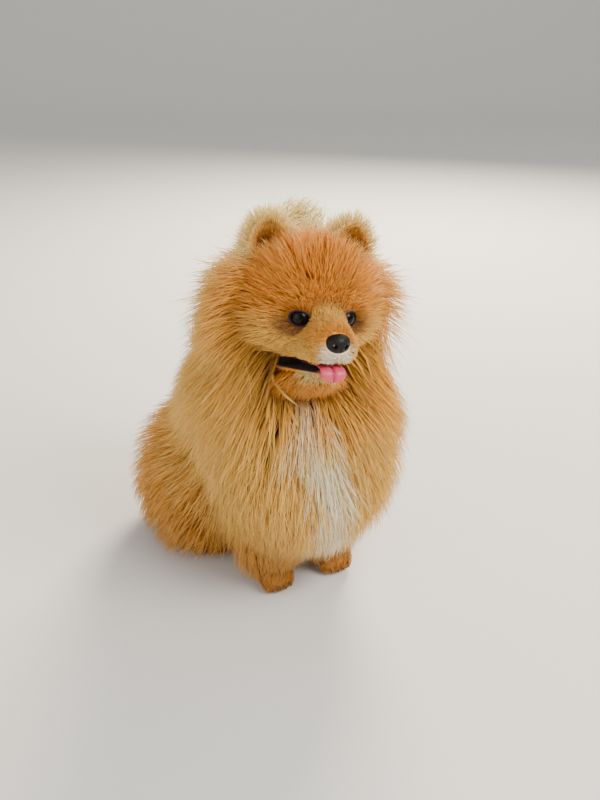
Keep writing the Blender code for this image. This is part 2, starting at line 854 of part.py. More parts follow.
def trunk(grow):
    """The torso, from the shoulders to the rump, between the thighs."""
    blocks = [haunch_block(sign, GAP - grow) for sign in (1, -1)]
    return [cut(body_core(grow), [past(*plane, grow) for plane in TORSO_CUTS] + blocks)]


def on_back(points):
    """True on the torso's outside where the plume doesn't lie on it."""
    outside = before(points, TORSO_CUTS) & ~in_haunch(points, 1) & ~in_haunch(points, -1)
    return outside & (FLESH["tail"](points) > 0.020)


def haunch_matrix(sign):
    """The frame of the space that a thigh takes from the body, leaned outward."""
    return Matrix.Translation(Vector(side(HAUNCH, sign))) @ Matrix.Rotation(sign * HAUNCH_LEAN, 4, "Y")


def haunch_block(sign, grow):
    """The block of space that a thigh takes from the body."""
    size = [length + grow for length in HAUNCH_SIZE]
    return slab("haunch", (sign * HAUNCH_SIZE[0] / 2, 0, 0), size, haunch_matrix(sign))


def in_haunch(points, sign):
    """True inside the space that a thigh takes from the body."""
    matrix = np.array(haunch_matrix(sign))
    offset = (points - matrix[:3, 3]) @ matrix[:3, :3] - (sign * HAUNCH_SIZE[0] / 2, 0, 0)
    return np.all(np.abs(offset) < np.array(HAUNCH_SIZE) / 2, axis=-1)


def thigh(sign, grow):
    """A folded hind leg down to the hock."""
    body = body_core(grow)
    block = haunch_block(sign, grow)
    combine(body, [block], "INTERSECT")
    remove([block])
    return [body]


def toes(ankle, ball_of_foot, width, length, grow):
    """A paw that lies along the floor: its pad and four toes, each with a claw."""
    ankle = Vector(ankle)
    foot = Vector(ball_of_foot)
    ahead = Vector((foot.x - ankle.x, foot.y - ankle.y, 0)).normalized()
    across = Vector((-ahead.y, ahead.x, 0))
    heading = Matrix.Rotation(math.atan2(-ahead.x, ahead.y), 4, "Z")
    height = foot.z
    pad = tube(
        "paw",
        [ankle, ankle.lerp(foot, 0.5), foot, foot + 0.4 * length * ahead],
        [width * share + grow for share in (0.42, 0.46, 0.52, 0.30)],
        [height * share + grow for share in (1.0, 1.0, 1.05, 0.70)],
        across,
        8,
    )
    if grow:
        middle = foot + 0.35 * length * ahead
        size = (width * 0.66 + grow, length * 1.10 + grow, height * 1.15 + grow)
        room = egg("room", (0, 0, 0), size, 12, 8, Matrix.Translation(middle) @ heading)
        return [room, pad]
    pieces = [pad]
    for k in range(4):
        offset = (k - 1.5) / 1.5
        reach = length * (0.62 - 0.16 * abs(offset))
        toe = foot + across * offset * width * 0.36 + ahead * reach
        size = (width * 0.17, length * 0.42, height * 0.78)
        pieces.append(egg("toe", (0, 0, 0), size, 6, 5, Matrix.Translation(toe) @ heading))
        tip = toe + ahead * (length * 0.42 + CLAW_LENGTH) - Vector((0, 0, height * 0.45))
        root = toe + ahead * length * 0.2
        middle = root.lerp(tip, 0.6) + Vector((0, 0, 0.0008))
        radii = [CLAW_RADIUS, CLAW_RADIUS * 0.8, CLAW_RADIUS * 0.25]
        pieces.append(tube("claw", [root, middle, tip], radii, radii, across, 4))
    return pieces


def forepaw(sign, grow):
    """A front paw."""
    ankle = (WRIST[0] * sign, WRIST[1] + 0.004, FORE_TOES[2])
    return toes(ankle, side(FORE_TOES, sign), PAW_WIDTH, PAW_LENGTH, grow)


def hindpaw(sign, grow):
    """A hind foot, flat on the floor from hock to toes."""
    return toes(side(HOCK, sign), side(HIND_TOES, sign), PAW_WIDTH, PAW_LENGTH, grow)


def foreleg_cuts(sign):
    """The planes that part a front leg from the chest, the torso and the other leg."""
    return [(LEG_TOP, (0, 0, 1)), (BRISKET, (0, 1, 0)), ((0, 0, 0), (-sign, 0, 0))]


def foreleg(sign, grow):
    """The lower half of a front leg, down to the wrist."""
    body = core("foreleg", (WRIST[0] * sign, WRIST[1], 0.034), body_level(grow), 12, 8)
    return [cut(body, [past(*plane, grow) for plane in foreleg_cuts(sign)])]


def tail(grow):
    """The tail, which rises behind the rump and lies forward over the back."""
    depth = CORE_SHARE * COATS["tail"]
    radii = [radius + depth + grow for radius in TAIL_RADII]
    radii[-1] *= 0.5
    return [tube("tail", [Vector(point) for point in TAIL_LINE], radii, radii, (1, 0, 0), 9)]


def off_the_back(points):
    """True on the side of the tail that doesn't lie on the back."""
    flesh = [form(points) for part, form in FLESH.items() if part != "tail"]
    share = np.min(flesh, axis=0) / COATS["torso"]
    return (share > 0.75) & (FLESH["tail"](points) > 0.3 * COATS["tail"])


ROOT_RULES = {
    "head": long_haired,
    "neck": round_the_face,
    "chest": on_chest,
    "torso": on_back,
    "tail": off_the_back,
    "thigh_left": lambda points: in_haunch(points, 1),
    "thigh_right": lambda points: in_haunch(points, -1),
    "foreleg_left": lambda points: before(points, foreleg_cuts(1)),
    "foreleg_right": lambda points: before(points, foreleg_cuts(-1)),
}


# The nodes, in the order in which each is cut clear of those before it


def pair(name, colour, maker):
    """The left and the right one of a part."""
    return [
        (name + "_left", colour, lambda grow: maker(1, grow)),
        (name + "_right", colour, lambda grow: maker(-1, grow)),
    ]


def nodes():
    """Name, colour and maker of every node."""
    return (
        pair("eye", "eye", eye)
        + [("nose", "leather", nose), ("tongue", "tongue", tongue)]
        + pair("ear", "rust", ear)
        + [("jaw", "cream", jaw), ("head", "rust", head), ("neck", "gold", ruff)]
        + pair("forepaw", "gold", forepaw)
        + pair("foreleg", "gold", foreleg)
        + pair("hindpaw", "gold", hindpaw)
        + pair("thigh", "gold", thigh)
        + [("tail", "cream", tail), ("chest", "white", frill), ("torso", "gold", trunk)]
    )


def split_otherwise(shape, pair, start, end):
    """Splits the quad of two triangles along its other diagonal, or from its middle where that would fold it."""
    left, right = sorted(pair, key=lambda face: face.loops[0].vert.index)
    if not any(loop.vert is start and loop.link_loop_next.vert is end for loop in left.loops):
        left, right = right, left
    high = next(vert for vert in left.verts if vert not in (start, end))
    low = next(vert for vert in right.verts if vert not in (start, end))
    up = left.normal * left.calc_area() + right.normal * right.calc_area()
    corners = ((start, low, high), (end, high, low))
    upright = all((b.co - a.co).cross(c.co - a.co).dot(up) > 0 for a, b, c in corners)
    if shape.edges.get((high, low)) or not upright:
        middle = shape.verts.new((start.co + end.co) / 2)
        corners = ((start, low, middle), (low, end, middle), (end, high, middle), (high, start, middle))
    for face in pair:
        shape.faces.remove(face)
    for corner in corners:
        shape.faces.new(corner)


def tidy(target):
    """Joins the flat faces that cuts leave split, and splits every face into triangles again."""
    shape = bmesh.new()
    shape.from_mesh(target.data)
    bmesh.ops.dissolve_limit(shape, angle_limit=FLAT, verts=shape.verts, edges=shape.edges)
    mark = shape.faces.layers.int.new("polygon")
    for number, face in enumerate(shape.faces):
        face[mark] = number
    bmesh.ops.triangulate(shape, faces=shape.faces)
    for edge in [edge for edge in shape.edges if len(edge.link_faces) == 4]:
        numbers = [face[mark] for face in edge.link_faces]
        first = min(number for number in numbers if numbers.count(number) == 2)
        split_otherwise(shape, [face for face in edge.link_faces if face[mark] == first], *edge.verts)
    shape.faces.layers.int.remove(mark)
    shape.normal_update()
    shape.to_mesh(target.data)
    shape.free()


def meets(one, other):
    """Whether the boxes of two objects touch."""
    boxes = [np.array([item.matrix_world @ Vector(corner) for corner in item.bound_box]) for item in (one, other)]
    low = np.maximum(boxes[0].min(axis=0), boxes[1].min(axis=0))
    high = np.minimum(boxes[0].max(axis=0), boxes[1].max(axis=0))
    return bool(np.all(low < high))


def material(colour):
    """The Principled material of a colour."""
    made = bpy.data.materials.new(colour)
    made.use_nodes = True
    shader = made.node_tree.nodes["Principled BSDF"]
    tone, roughness = COLOURS[colour]
    shader.inputs["Base Color"].default_value = (*tone, 1)
    shader.inputs["Roughness"].default_value = roughness
    shader.inputs["Metallic"].default_value = 0
    return made


def build_dog():
    """Makes every node, cuts it clear of the earlier ones and of the floor, and stands the dog on its base."""
    for item in list(bpy.data.objects):
        bpy.data.objects.remove(item)
    solids = []
    grown = []
    for name, colour, maker in nodes():
        coat = coat_plan(name)
        solid = fused(maker(0.0) + [lock(*plan, 0.0) for plan in coat])
        solid.name = name
        bpy.context.view_layer.update()
        for other in grown:
            if meets(solid, other):
                combine(solid, [other], "DIFFERENCE")
        cut(solid, [slab("floor", (0, 0, -0.1), (1, 1, 0.2))])
        tidy(solid)
        keep_largest(solid)
        solid.data.materials.clear()
        solid.data.materials.append(material(colour))
        solid.data.shade_smooth()
        solids.append(solid)
        grown.append(fused(maker(GAP) + [lock(*plan, GAP) for plan in coat]))
    remove(grown)
    corners = np.array([vert.co for solid in solids for vert in solid.data.vertices])
    middle = (corners.min(axis=0) + corners.max(axis=0)) / 2
    dog = bpy.data.objects.new("dog", None)
    bpy.context.scene.collection.objects.link(dog)
    dog.location = (-middle[0], -middle[1], 0)
    for solid in solids:
        solid.parent = dog


build_dog()
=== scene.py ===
"""The looks of the sitting pomeranian: one skin, a coat of fine tufts, and the parts of the face.

Units are metres. The forms of the flesh are those of the solids, in the same modelling frame: the dog
faces -Y, its left side is +X and the floor is at Z = 0. SHIFT moves them to where the frame stands.
"""

import math

import bpy
import numpy as np
from mathutils import Matrix, Vector
from mathutils.kdtree import KDTree


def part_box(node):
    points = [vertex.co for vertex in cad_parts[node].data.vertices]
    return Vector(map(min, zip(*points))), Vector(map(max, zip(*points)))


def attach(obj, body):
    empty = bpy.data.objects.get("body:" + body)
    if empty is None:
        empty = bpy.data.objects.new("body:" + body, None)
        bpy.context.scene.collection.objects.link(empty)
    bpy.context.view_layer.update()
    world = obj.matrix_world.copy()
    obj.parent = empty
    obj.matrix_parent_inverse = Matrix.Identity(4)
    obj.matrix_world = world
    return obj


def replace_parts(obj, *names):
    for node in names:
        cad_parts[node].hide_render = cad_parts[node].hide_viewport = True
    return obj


HEAD_TURN = math.radians(-9.5)
HEAD_TILT = math.radians(7.5)
EYE = (0.0156, -0.0545, 0.2405)
EYE_RADIUS = 0.0080
EYE_TOE_OUT = math.radians(24)
EYE_OPENING = (0.0064, 0.0047)
CORNEA_RISE = 0.0005
LID_THICKNESS = 0.0010
NOSE = (0.0, -0.0885, 0.2335)
NOSE_SIZE = (0.0084, 0.0062, 0.0064)
SKULL = (0.0, -0.0270, 0.2475)
SKULL_SIZE = (0.0340, 0.0330, 0.0280)
CHEEK = (0.0190, -0.0330, 0.2340)
CHEEK_SIZE = (0.0180, 0.0220, 0.0180)
MUZZLE_ROOT = (0.0, -0.0540, 0.2350)
MUZZLE_TIP = (0.0, -0.0800, 0.2315)
MUZZLE_RADII = (0.0150, 0.0105)
BROW = (0.0120, -0.0480, 0.2525)
BROW_SIZE = (0.0090, 0.0075, 0.0070)
BRIDGE_ROOT = (0.0, -0.0540, 0.2405)
BRIDGE_TIP = (0.0, -0.0820, 0.2345)
BRIDGE_RADII = (0.0085, 0.0062)
WHISKER_PAD = (0.0062, -0.0765, 0.2275)
WHISKER_PAD_SIZE = (0.0085, 0.0100, 0.0078)
LIP_BACK = (0.0120, -0.0480, 0.2215)
LIP_FRONT = (0.0070, -0.0760, 0.2248)
LIP_RADII = (0.0095, 0.0076)
JAW_BACK = (0.0150, -0.0340, 0.1985)
JAW_TIP = (0.0045, -0.0680, 0.2012)
JAW_RADII = (0.0085, 0.0044)
JAW_FLOOR_BACK = (0.0, -0.0340, 0.1950)
JAW_FLOOR_TIP = (0.0, -0.0640, 0.1990)
JAW_FLOOR_RADII = (0.0100, 0.0040)
MOUTH_CORNER = (0.0, -0.0385, 0.2030)
MOUTH_RISE = math.radians(13)
MOUTH_GAPE = 0.0078
PALATE_WIDTH = 0.0070
PALATE_LENGTH = 0.0250
BIB_MIDDLE = -0.001
BIB_SLANT = 0.0105
TONGUE_LINE = (
    (0.0, -0.0440, 0.2040),
    (0.0, -0.0600, 0.2085),
    (0.0, -0.0740, 0.2130),
    (0.0, -0.0840, 0.2142),
    (0.0, -0.0885, 0.2125),
    (0.0, -0.0898, 0.2090),
    (0.0, -0.0900, 0.2065),
)
TONGUE_TAPER = (0.70, 0.80, 0.88, 0.96, 1.0, 0.82, 0.40)
TONGUE_WIDTH = 0.0180
TONGUE_THICKNESS = 0.0032
EAR = (0.0300, -0.0120, 0.2785)
EAR_SIZE = (0.0162, 0.0090, 0.0190)
EAR_NARROWING = 0.24
EAR_OUT = math.radians(14)
EAR_BACK = math.radians(10)
EAR_TURN = math.radians(-4)
WITHERS = (0.0, 0.0040, 0.1500)
POLL = (0.0, -0.0100, 0.2230)
NECK_TOP = (0.0080, -0.0060, 0.2280)
NECK_RADII = (0.040, 0.036)
FORECHEST = (0.0, -0.0220, 0.1200)
CHEST_SIZE = (0.042, 0.034, 0.052)
BACK_TOP = (0.0, 0.0200, 0.1350)
RUMP = (0.0, 0.0960, 0.0620)
TRUNK_RADIUS = 0.048
THIGH = (0.0460, 0.0840, 0.0500)
THIGH_SIZE = (0.0260, 0.0450, 0.0420)
HOCK = (0.0500, 0.1080, 0.0130)
HIND_TOES = (0.0450, 0.0540, 0.0100)
ELBOW = (0.0260, -0.0020, 0.0950)
WRIST = (0.0270, -0.0060, 0.0240)
FORELEG_RADII = (0.015, 0.0095)
FORE_TOES = (0.0270, -0.0170, 0.0105)
PAW_WIDTH = 0.0230
PAW_LENGTH = 0.0160
CLAW_LENGTH = 0.0024
CLAW_RADIUS = 0.0010
TAIL_LINE = (
    (0.0, 0.118, 0.090),
    (0.0, 0.134, 0.118),
    (0.003, 0.126, 0.154),
    (0.009, 0.104, 0.194),
    (0.018, 0.076, 0.232),
    (0.026, 0.046, 0.266),
)
TAIL_RADII = (0.013, 0.012, 0.010, 0.008, 0.0065, 0.005)

HEAD_FILLET = 0.008
BODY_FILLET = 0.014
JAW_FILLET = 0.005
FACE_FILLET = 0.004
JOIN_FILLET = 0.010
PAW_FILLET = 0.006
TOE_FILLET = 0.0022
LIP_EDGE = 0.0012
CUP_EDGE = 0.0010
LID_EDGE = 0.0006
SOLE_HEIGHT = 0.0004
PART_EDGE = 0.0005

# Depths of the coat
COAT_BLEND = 0.014
SHORT_COAT = 0.0026
COATS = {
    "head": 0.024,
    "neck": 0.054,
    "chest": 0.046,
    "torso": 0.042,
    "thigh": 0.036,
    "foreleg": 0.019,
    "tail": 0.036,
}
BODY_PARTS = ("neck", "chest", "torso", "thigh", "foreleg")

# Count, points along a tuft, length, width, thickness and pull towards the leading tuft, for each place
TUFTS = {
    "head": (19400, 4, 0.030, 0.00050, 0.00026, 0.28),
    "mane": (8600, 5, 0.052, 0.00062, 0.00031, 0.34),
    "ear": (6200, 4, 0.011, 0.00036, 0.00019, 0.12),
    "lid": (2600, 4, 0.0056, 0.00034, 0.00020, 0.0),
    "neck": (14000, 5, 0.068, 0.00066, 0.00033, 0.36),
    "chest": (8500, 5, 0.054, 0.00066, 0.00034, 0.38),
    "torso": (6200, 5, 0.058, 0.00078, 0.00038, 0.40),
    "thigh": (5200, 5, 0.048, 0.00072, 0.00036, 0.40),
    "foreleg": (4200, 4, 0.044, 0.00062, 0.00032, 0.34),
    "paw": (6000, 3, 0.009, 0.00048, 0.00026, 0.15),
    "tail": (4200, 5, 0.070, 0.00074, 0.00036, 0.34),
}
UNDERCOAT = {
    "neck": (1200, 4, 0.046, 0.0042, 0.0014, 0.0),
    "chest": (700, 4, 0.040, 0.0042, 0.0014, 0.0),
    "torso": (800, 4, 0.040, 0.0042, 0.0014, 0.0),
    "thigh": (500, 4, 0.034, 0.0040, 0.0014, 0.0),
    "foreleg": (200, 4, 0.018, 0.0030, 0.0012, 0.0),
    "tail": (300, 4, 0.044, 0.0040, 0.0014, 0.0),
}
SHORT_PARTS = ("head", "lid", "paw", "ear")

# Tufts that stand freely, and how much they fall
STANDING = {"mane": 0.42, "ear": 0.0}
MANE_DEPTH = 0.060

# How far the tufts reach in the coat's depth, and how bright they are: near the skin, and over it; those near
# the skin are darker as painted shade deep in the coat
UNDER_REACH = (0.40, 0.66)
UNDER_LIGHT = 0.82
OVER_REACH = (0.70, 1.04)

# Chance: spread of the lengths, turn and bend of the tufts in radians, and the share of loose ones
LENGTH_SPREAD = (0.72, 1.12)
SWAY = 0.16
BEND = 0.22
LOOSE_SHARE = 0.06
LOOSE_SWAY = 0.5
LEADING_SHARE = 0.07
SEED = 7

# Limits of the tufts: lowest line, lowest point and widest place
LOWEST_LINE = 0.0010
LOWEST_POINT = 0.0003
WIDEST = 0.0990
PIECE_TRIANGLES = 190000
PATCH = 0.003

CAMERA_PLACE = (-0.291, -0.560, 0.452)
CAMERA_AZIMUTH = math.radians(-28)
CAMERA_PITCH = math.radians(25.3)
CAMERA_LENS = 40.5


# Colours, as they look on a screen, turned to the linear values that a shader takes


def linear(red, green, blue):
    """A screen colour as linear values."""
    tone = np.array((red, green, blue)) / 255
    return np.where(tone <= 0.04045, tone / 12.92, ((tone + 0.055) / 1.055) ** 2.4)


RUST = linear(226, 140, 22)
TAN = linear(226, 158, 52)
GOLD = linear(242, 188, 84)
CREAM = linear(255, 230, 156)
WHITE = linear(255, 246, 218)
BROWN = linear(112, 56, 16)
DARK = linear(26, 14, 10)
# The colour of the painted shade on the low legs
SHADE = linear(200, 128, 44)
IRIS = linear(30, 15, 9)
EYE_WHITE = linear(12, 8, 8)
PUPIL = linear(3, 3, 4)
LEATHER = linear(11, 9, 9)
PINK = linear(206, 62, 98)
# The colour of the painted shade in the tongue's groove
GROOVE_SHADE = linear(150, 30, 58)
# The colour of the painted shade at the back of the tongue
TONGUE_BACK_SHADE = linear(110, 28, 40)
HORN = linear(52, 42, 36)


# Forms of flesh: each is a function from points to their distance outside its surface


def ball(centre, size):
    """An ellipsoid."""
    centre = np.array(centre)
    size = np.array(size)

    def distance(points):
        offset = points - centre
        inner = np.linalg.norm(offset / size, axis=-1)
        slope = np.linalg.norm(offset / size**2, axis=-1)
        return inner * (inner - 1) / np.maximum(slope, 1e-9)

    return distance


def limb(start, end, start_radius, end_radius):
    """A round cone between two centres."""
    start = np.array(start)
    along = np.array(end) - start

    def distance(points):
        share = np.clip((points - start) @ along / (along @ along), 0, 1)
        radius = start_radius + share * (end_radius - start_radius)
        return np.linalg.norm(points - start - share[..., None] * along, axis=-1) - radius

    return distance


def chain(line, radii):
    """A row of limbs, end to end."""
    parts = [limb(*pair) for pair in zip(line, line[1:], radii, radii[1:])]
    return lambda points: np.min([part(points) for part in parts], axis=0)


def blend(nearest, other, softness):
    """The smaller of two distances, with a fillet about as wide as softness where they are alike."""
    share = np.clip(0.5 + 0.5 * (other - nearest) / softness, 0, 1)
    return other * (1 - share) + nearest * share - softness * share * (1 - share)


def melt(forms, softness):
    """The forms as one, with a smooth fillet where they meet."""

    def distance(points):
        nearest = forms[0](points)
        for form in forms[1:]:
            nearest = blend(nearest, form(points), softness)
        return nearest

    return distance


def mirrored(form):
    """The form on the dog's left, and its mirror image on the right."""
    return lambda points: form(np.stack([abs(points[..., 0]), points[..., 1], points[..., 2]], -1))


def placed(form, matrix):
    """A form moved and turned by a matrix."""
    ways = np.array(matrix.to_3x3())
    middle = np.array(matrix.translation)
    return lambda points: form((points - middle) @ ways)


def head_matrix():
    """Turns and tilts the straight head about its joint with the neck."""
    joint = Vector(POLL)
    turn = Matrix.Rotation(HEAD_TURN, 4, "Z") @ Matrix.Rotation(HEAD_TILT, 4, "Y")
    return Matrix.Translation(joint) @ turn @ Matrix.Translation(-joint)


HEAD = head_matrix()
HEAD_WAYS = np.array(HEAD.to_3x3())


def turned(point):
    """Where a point of the straight head lies once the head is turned and tilted."""
    return HEAD_WAYS @ (np.array(point) - POLL) + POLL


def straight(points):
    """Points of the turned head as they lie on the straight head."""
    return (points - POLL) @ HEAD_WAYS + POLL


def on_head(form):
    """A form of the straight head, turned and tilted with the head."""
    return lambda points: form(straight(points))


def side(point, sign):
    """The point on the dog's left for sign 1, on its right for sign -1."""
    return (point[0] * sign, point[1], point[2])


def head_form():
    """Skull, cheeks, brows and muzzle, without the lower jaw, on the straight head."""
    skull = ball(SKULL, SKULL_SIZE)
    cheek = mirrored(ball(CHEEK, CHEEK_SIZE))
    brow = mirrored(ball(BROW, BROW_SIZE))
    muzzle = limb(MUZZLE_ROOT, MUZZLE_TIP, *MUZZLE_RADII)
    bridge = limb(BRIDGE_ROOT, BRIDGE_TIP, *BRIDGE_RADII)
    whisker_pad = mirrored(ball(WHISKER_PAD, WHISKER_PAD_SIZE))
    lip = mirrored(limb(LIP_BACK, LIP_FRONT, *LIP_RADII))
    return melt([skull, cheek, brow, muzzle, bridge, whisker_pad, lip], HEAD_FILLET)


def flesh_forms():
    """The flesh of each part of the body, as distance functions."""
    return {
        "head": on_head(head_form()),
        "neck": limb(WITHERS, NECK_TOP, *NECK_RADII),
        "chest": ball(FORECHEST, CHEST_SIZE),
        "torso": limb(BACK_TOP, RUMP, TRUNK_RADIUS, TRUNK_RADIUS),
        "thigh": mirrored(ball(THIGH, THIGH_SIZE)),
        "foreleg": mirrored(limb(ELBOW, WRIST, *FORELEG_RADII)),
        "tail": chain(TAIL_LINE, TAIL_RADII),
    }


FLESH = flesh_forms()
JAW_SIDES = mirrored(limb(JAW_BACK, JAW_TIP, *JAW_RADII))
JAW_FLOOR = limb(JAW_FLOOR_BACK, JAW_FLOOR_TIP, *JAW_FLOOR_RADII)
JAW = on_head(melt([JAW_SIDES, JAW_FLOOR], FACE_FILLET))


def ramp(value, low, high):
    """0 below low, 1 above high, and smooth between them."""
    share = np.clip((value - low) / (high - low), 0, 1)
    return share * share * (3 - 2 * share)


def part_coat(part, points):
    """The depth of one part's coat. It is short on the face, and the ruff leaves the face free."""
    depth = COATS[part]
    if part == "head":
        from_nose = np.linalg.norm(points - turned(NOSE), axis=-1)
        lips = 0.40 + 0.60 * ramp(mouth_form(points), 0.001, 0.012)
        return SHORT_COAT + (depth - SHORT_COAT) * ramp(from_nose, 0.026, 0.088) * lips
    if part == "neck":
        before_face = (points - turned((0, -0.020, 0.235))) @ HEAD_WAYS @ (0, -0.92, 0.39)
        height = points[..., 2]
        over_head = ramp(height, 0.245, 0.300)
        mane = ramp(height, 0.190, 0.225) * (1 - ramp(height, 0.255, 0.290))
        face = ramp(before_face, 0.000, 0.034) * ramp(height, 0.184, 0.212)
        return depth * (1 - 0.92 * face) * (1 + 0.30 * mane) * (1 - 0.12 * over_head)
    return np.full(points.shape[:-1], depth)


def body_weights(points):
    """How much each part of the body counts at a point, from how near it is."""
    return {part: np.exp(-np.clip(FLESH[part](points), -0.02, 0.2) / COAT_BLEND) for part in BODY_PARTS}


def coat_depth(points):
    """The coat's depth on the body: that of the nearest part, with a smooth change between parts."""
    weights = body_weights(points)
    return sum(weights[part] * part_coat(part, points) for part in BODY_PARTS) / sum(weights.values())


def body_distance(points):
    """Distance outside the flesh of the body, without the head and the tail."""
    return melt([FLESH[part] for part in BODY_PARTS], BODY_FILLET)(points)


def slope_of(function, points):
    """The direction in which a function grows fastest, as unit vectors."""
    step = 1e-4
    rises = [function(points + step * axis) - function(points - step * axis) for axis in np.eye(3)]
    slope = np.stack(rises, -1)
    return slope / np.maximum(np.linalg.norm(slope, axis=-1, keepdims=True), 1e-12)


def unit(vectors):
    """The vectors at length 1."""
    return vectors / np.maximum(np.linalg.norm(vectors, axis=-1, keepdims=True), 1e-9)


# The skin's form: the flesh with ears, eye sockets, mouth and paws


def ear_matrix(sign):
    """A frame at the ear's middle: Z up the ear, -Y out of its cup."""
    lean = Matrix.Rotation(sign * EAR_OUT, 4, "Y") @ Matrix.Rotation(-EAR_BACK, 4, "X")
    turn = lean @ Matrix.Rotation(sign * EAR_TURN, 4, "Z")
    return HEAD @ Matrix.Translation(Vector(side(EAR, sign))) @ turn


def ear_form(sign):
    """An ear with its cup, which narrows to the tip."""
    shell = ball((0, 0, 0), EAR_SIZE)
    cup = ball((0, -0.0055, 0.0012), (EAR_SIZE[0] - 0.0022, EAR_SIZE[1] - 0.0008, EAR_SIZE[2] - 0.0024))

    def distance(points):
        narrow = 1 - EAR_NARROWING * np.clip(points[..., 2] / EAR_SIZE[2], 0, 1) ** 1.5
        points = np.stack([points[..., 0] / narrow, points[..., 1], points[..., 2]], -1)
        return -blend(-shell(points), cup(points), CUP_EDGE)

    return placed(distance, ear_matrix(sign))


def mouth_slot(points):
    """The room between the open jaws, round at its back, and how far ahead in it a point is."""
    offset = straight(points) - MOUTH_CORNER
    ahead = offset[..., 2] * math.sin(MOUTH_RISE) - offset[..., 1] * math.cos(MOUTH_RISE)
    above = offset[..., 2] * math.cos(MOUTH_RISE) + offset[..., 1] * math.sin(MOUTH_RISE)
    return np.hypot(np.minimum(ahead, 0), above) - MOUTH_GAPE / 2, ahead


def mouth_form(points):
    """The room of the mouth: a slot each side of the palate, and one before it."""
    slot, ahead = mouth_slot(points)
    inside = np.minimum(PALATE_WIDTH / 2 - abs(straight(points)[..., 0]), PALATE_LENGTH - ahead)
    return np.maximum(slot, inside)


def toe_places(ankle, ball_of_foot):
    """The middle and heading of each toe of a paw."""
    foot = np.array(ball_of_foot)
    ahead = unit(np.array((foot[0] - ankle[0], foot[1] - ankle[1], 0)))
    across = np.array((-ahead[1], ahead[0], 0))
    places = []
    for k in range(4):
        offset = (k - 1.5) / 1.5
        reach = PAW_LENGTH * (0.62 - 0.16 * abs(offset))
        places.append(foot + across * offset * PAW_WIDTH * 0.36 + ahead * reach)
    return places, ahead


def paw_form(ankle, ball_of_foot):
    """A paw on the dog's left, with four toes."""
    height = ball_of_foot[2]
    forms = [limb(ankle, ball_of_foot, PAW_WIDTH * 0.40, PAW_WIDTH * 0.44)]
    places, _ = toe_places(ankle, ball_of_foot)
    for place in places:
        forms.append(ball(place, (PAW_WIDTH * 0.17, PAW_LENGTH * 0.42, height * 0.78)))
    return melt(forms, TOE_FILLET)


FORE_ANKLE = (WRIST[0], WRIST[1] + 0.004, FORE_TOES[2])
FOREPAWS = mirrored(paw_form(FORE_ANKLE, FORE_TOES))
HINDPAWS = mirrored(paw_form(HOCK, HIND_TOES))
EARS = [ear_form(1), ear_form(-1)]
LID_BALLS = [ball(turned(side(EYE, sign)), [EYE_RADIUS + LID_THICKNESS] * 3) for sign in (1, -1)]


def closed_head(points):
    """The head with its lower jaw, without sockets or mouth."""
    return blend(FLESH["head"](points), JAW(points), JAW_FILLET)


def eye_matrix(sign):
    """A frame at the eye whose Z looks out of it."""
    out = Vector((sign * math.sin(EYE_TOE_OUT), -math.cos(EYE_TOE_OUT), 0.10))
    turn = out.to_track_quat("Z", "Y").to_matrix().to_4x4()
    return HEAD @ Matrix.Translation(Vector(side(EYE, sign))) @ turn


def eye_opening(points):
    """Distance outside the almond openings between the lids, before the eyes."""
    nearest = np.full(points.shape[:-1], 1.0)
    for sign in (1, -1):
        matrix = eye_matrix(sign)
        place = (points - np.array(matrix.translation)) @ np.array(matrix.to_3x3())
        round_it = np.hypot(place[..., 0] / EYE_OPENING[0], place[..., 1] / EYE_OPENING[1]) - 1
        nearest = np.minimum(nearest, np.maximum(round_it * EYE_OPENING[1], 0.002 - place[..., 2]))
    return nearest


def lidded_head(points):
    """The closed head with the lids over the eyes."""
    head = closed_head(points)
    for lid in LID_BALLS:
        head = blend(head, lid(points), FACE_FILLET)
    return head


def skin_form(points):
    """The whole skin."""
    head = -blend(-lidded_head(points), eye_opening(points), LID_EDGE)
    for ear in EARS:
        head = blend(head, ear(points), FACE_FILLET)
    body = blend(body_distance(points), head, JOIN_FILLET)
    body = -blend(-body, mouth_form(points), LIP_EDGE)
    body = blend(body, FLESH["tail"](points), JOIN_FILLET)
    for paws in (FOREPAWS, HINDPAWS):
        body = blend(body, paws(points), PAW_FILLET)
    return np.maximum(body, SOLE_HEIGHT - points[..., 2])


# Meshes


def axis_steps(stops, steps):
    """Grid values from stop to stop, with the step of each stretch."""
    values = [np.arange(low, high, step) for low, high, step in zip(stops, stops[1:], steps)]
    return np.concatenate(values + [[stops[-1]]])


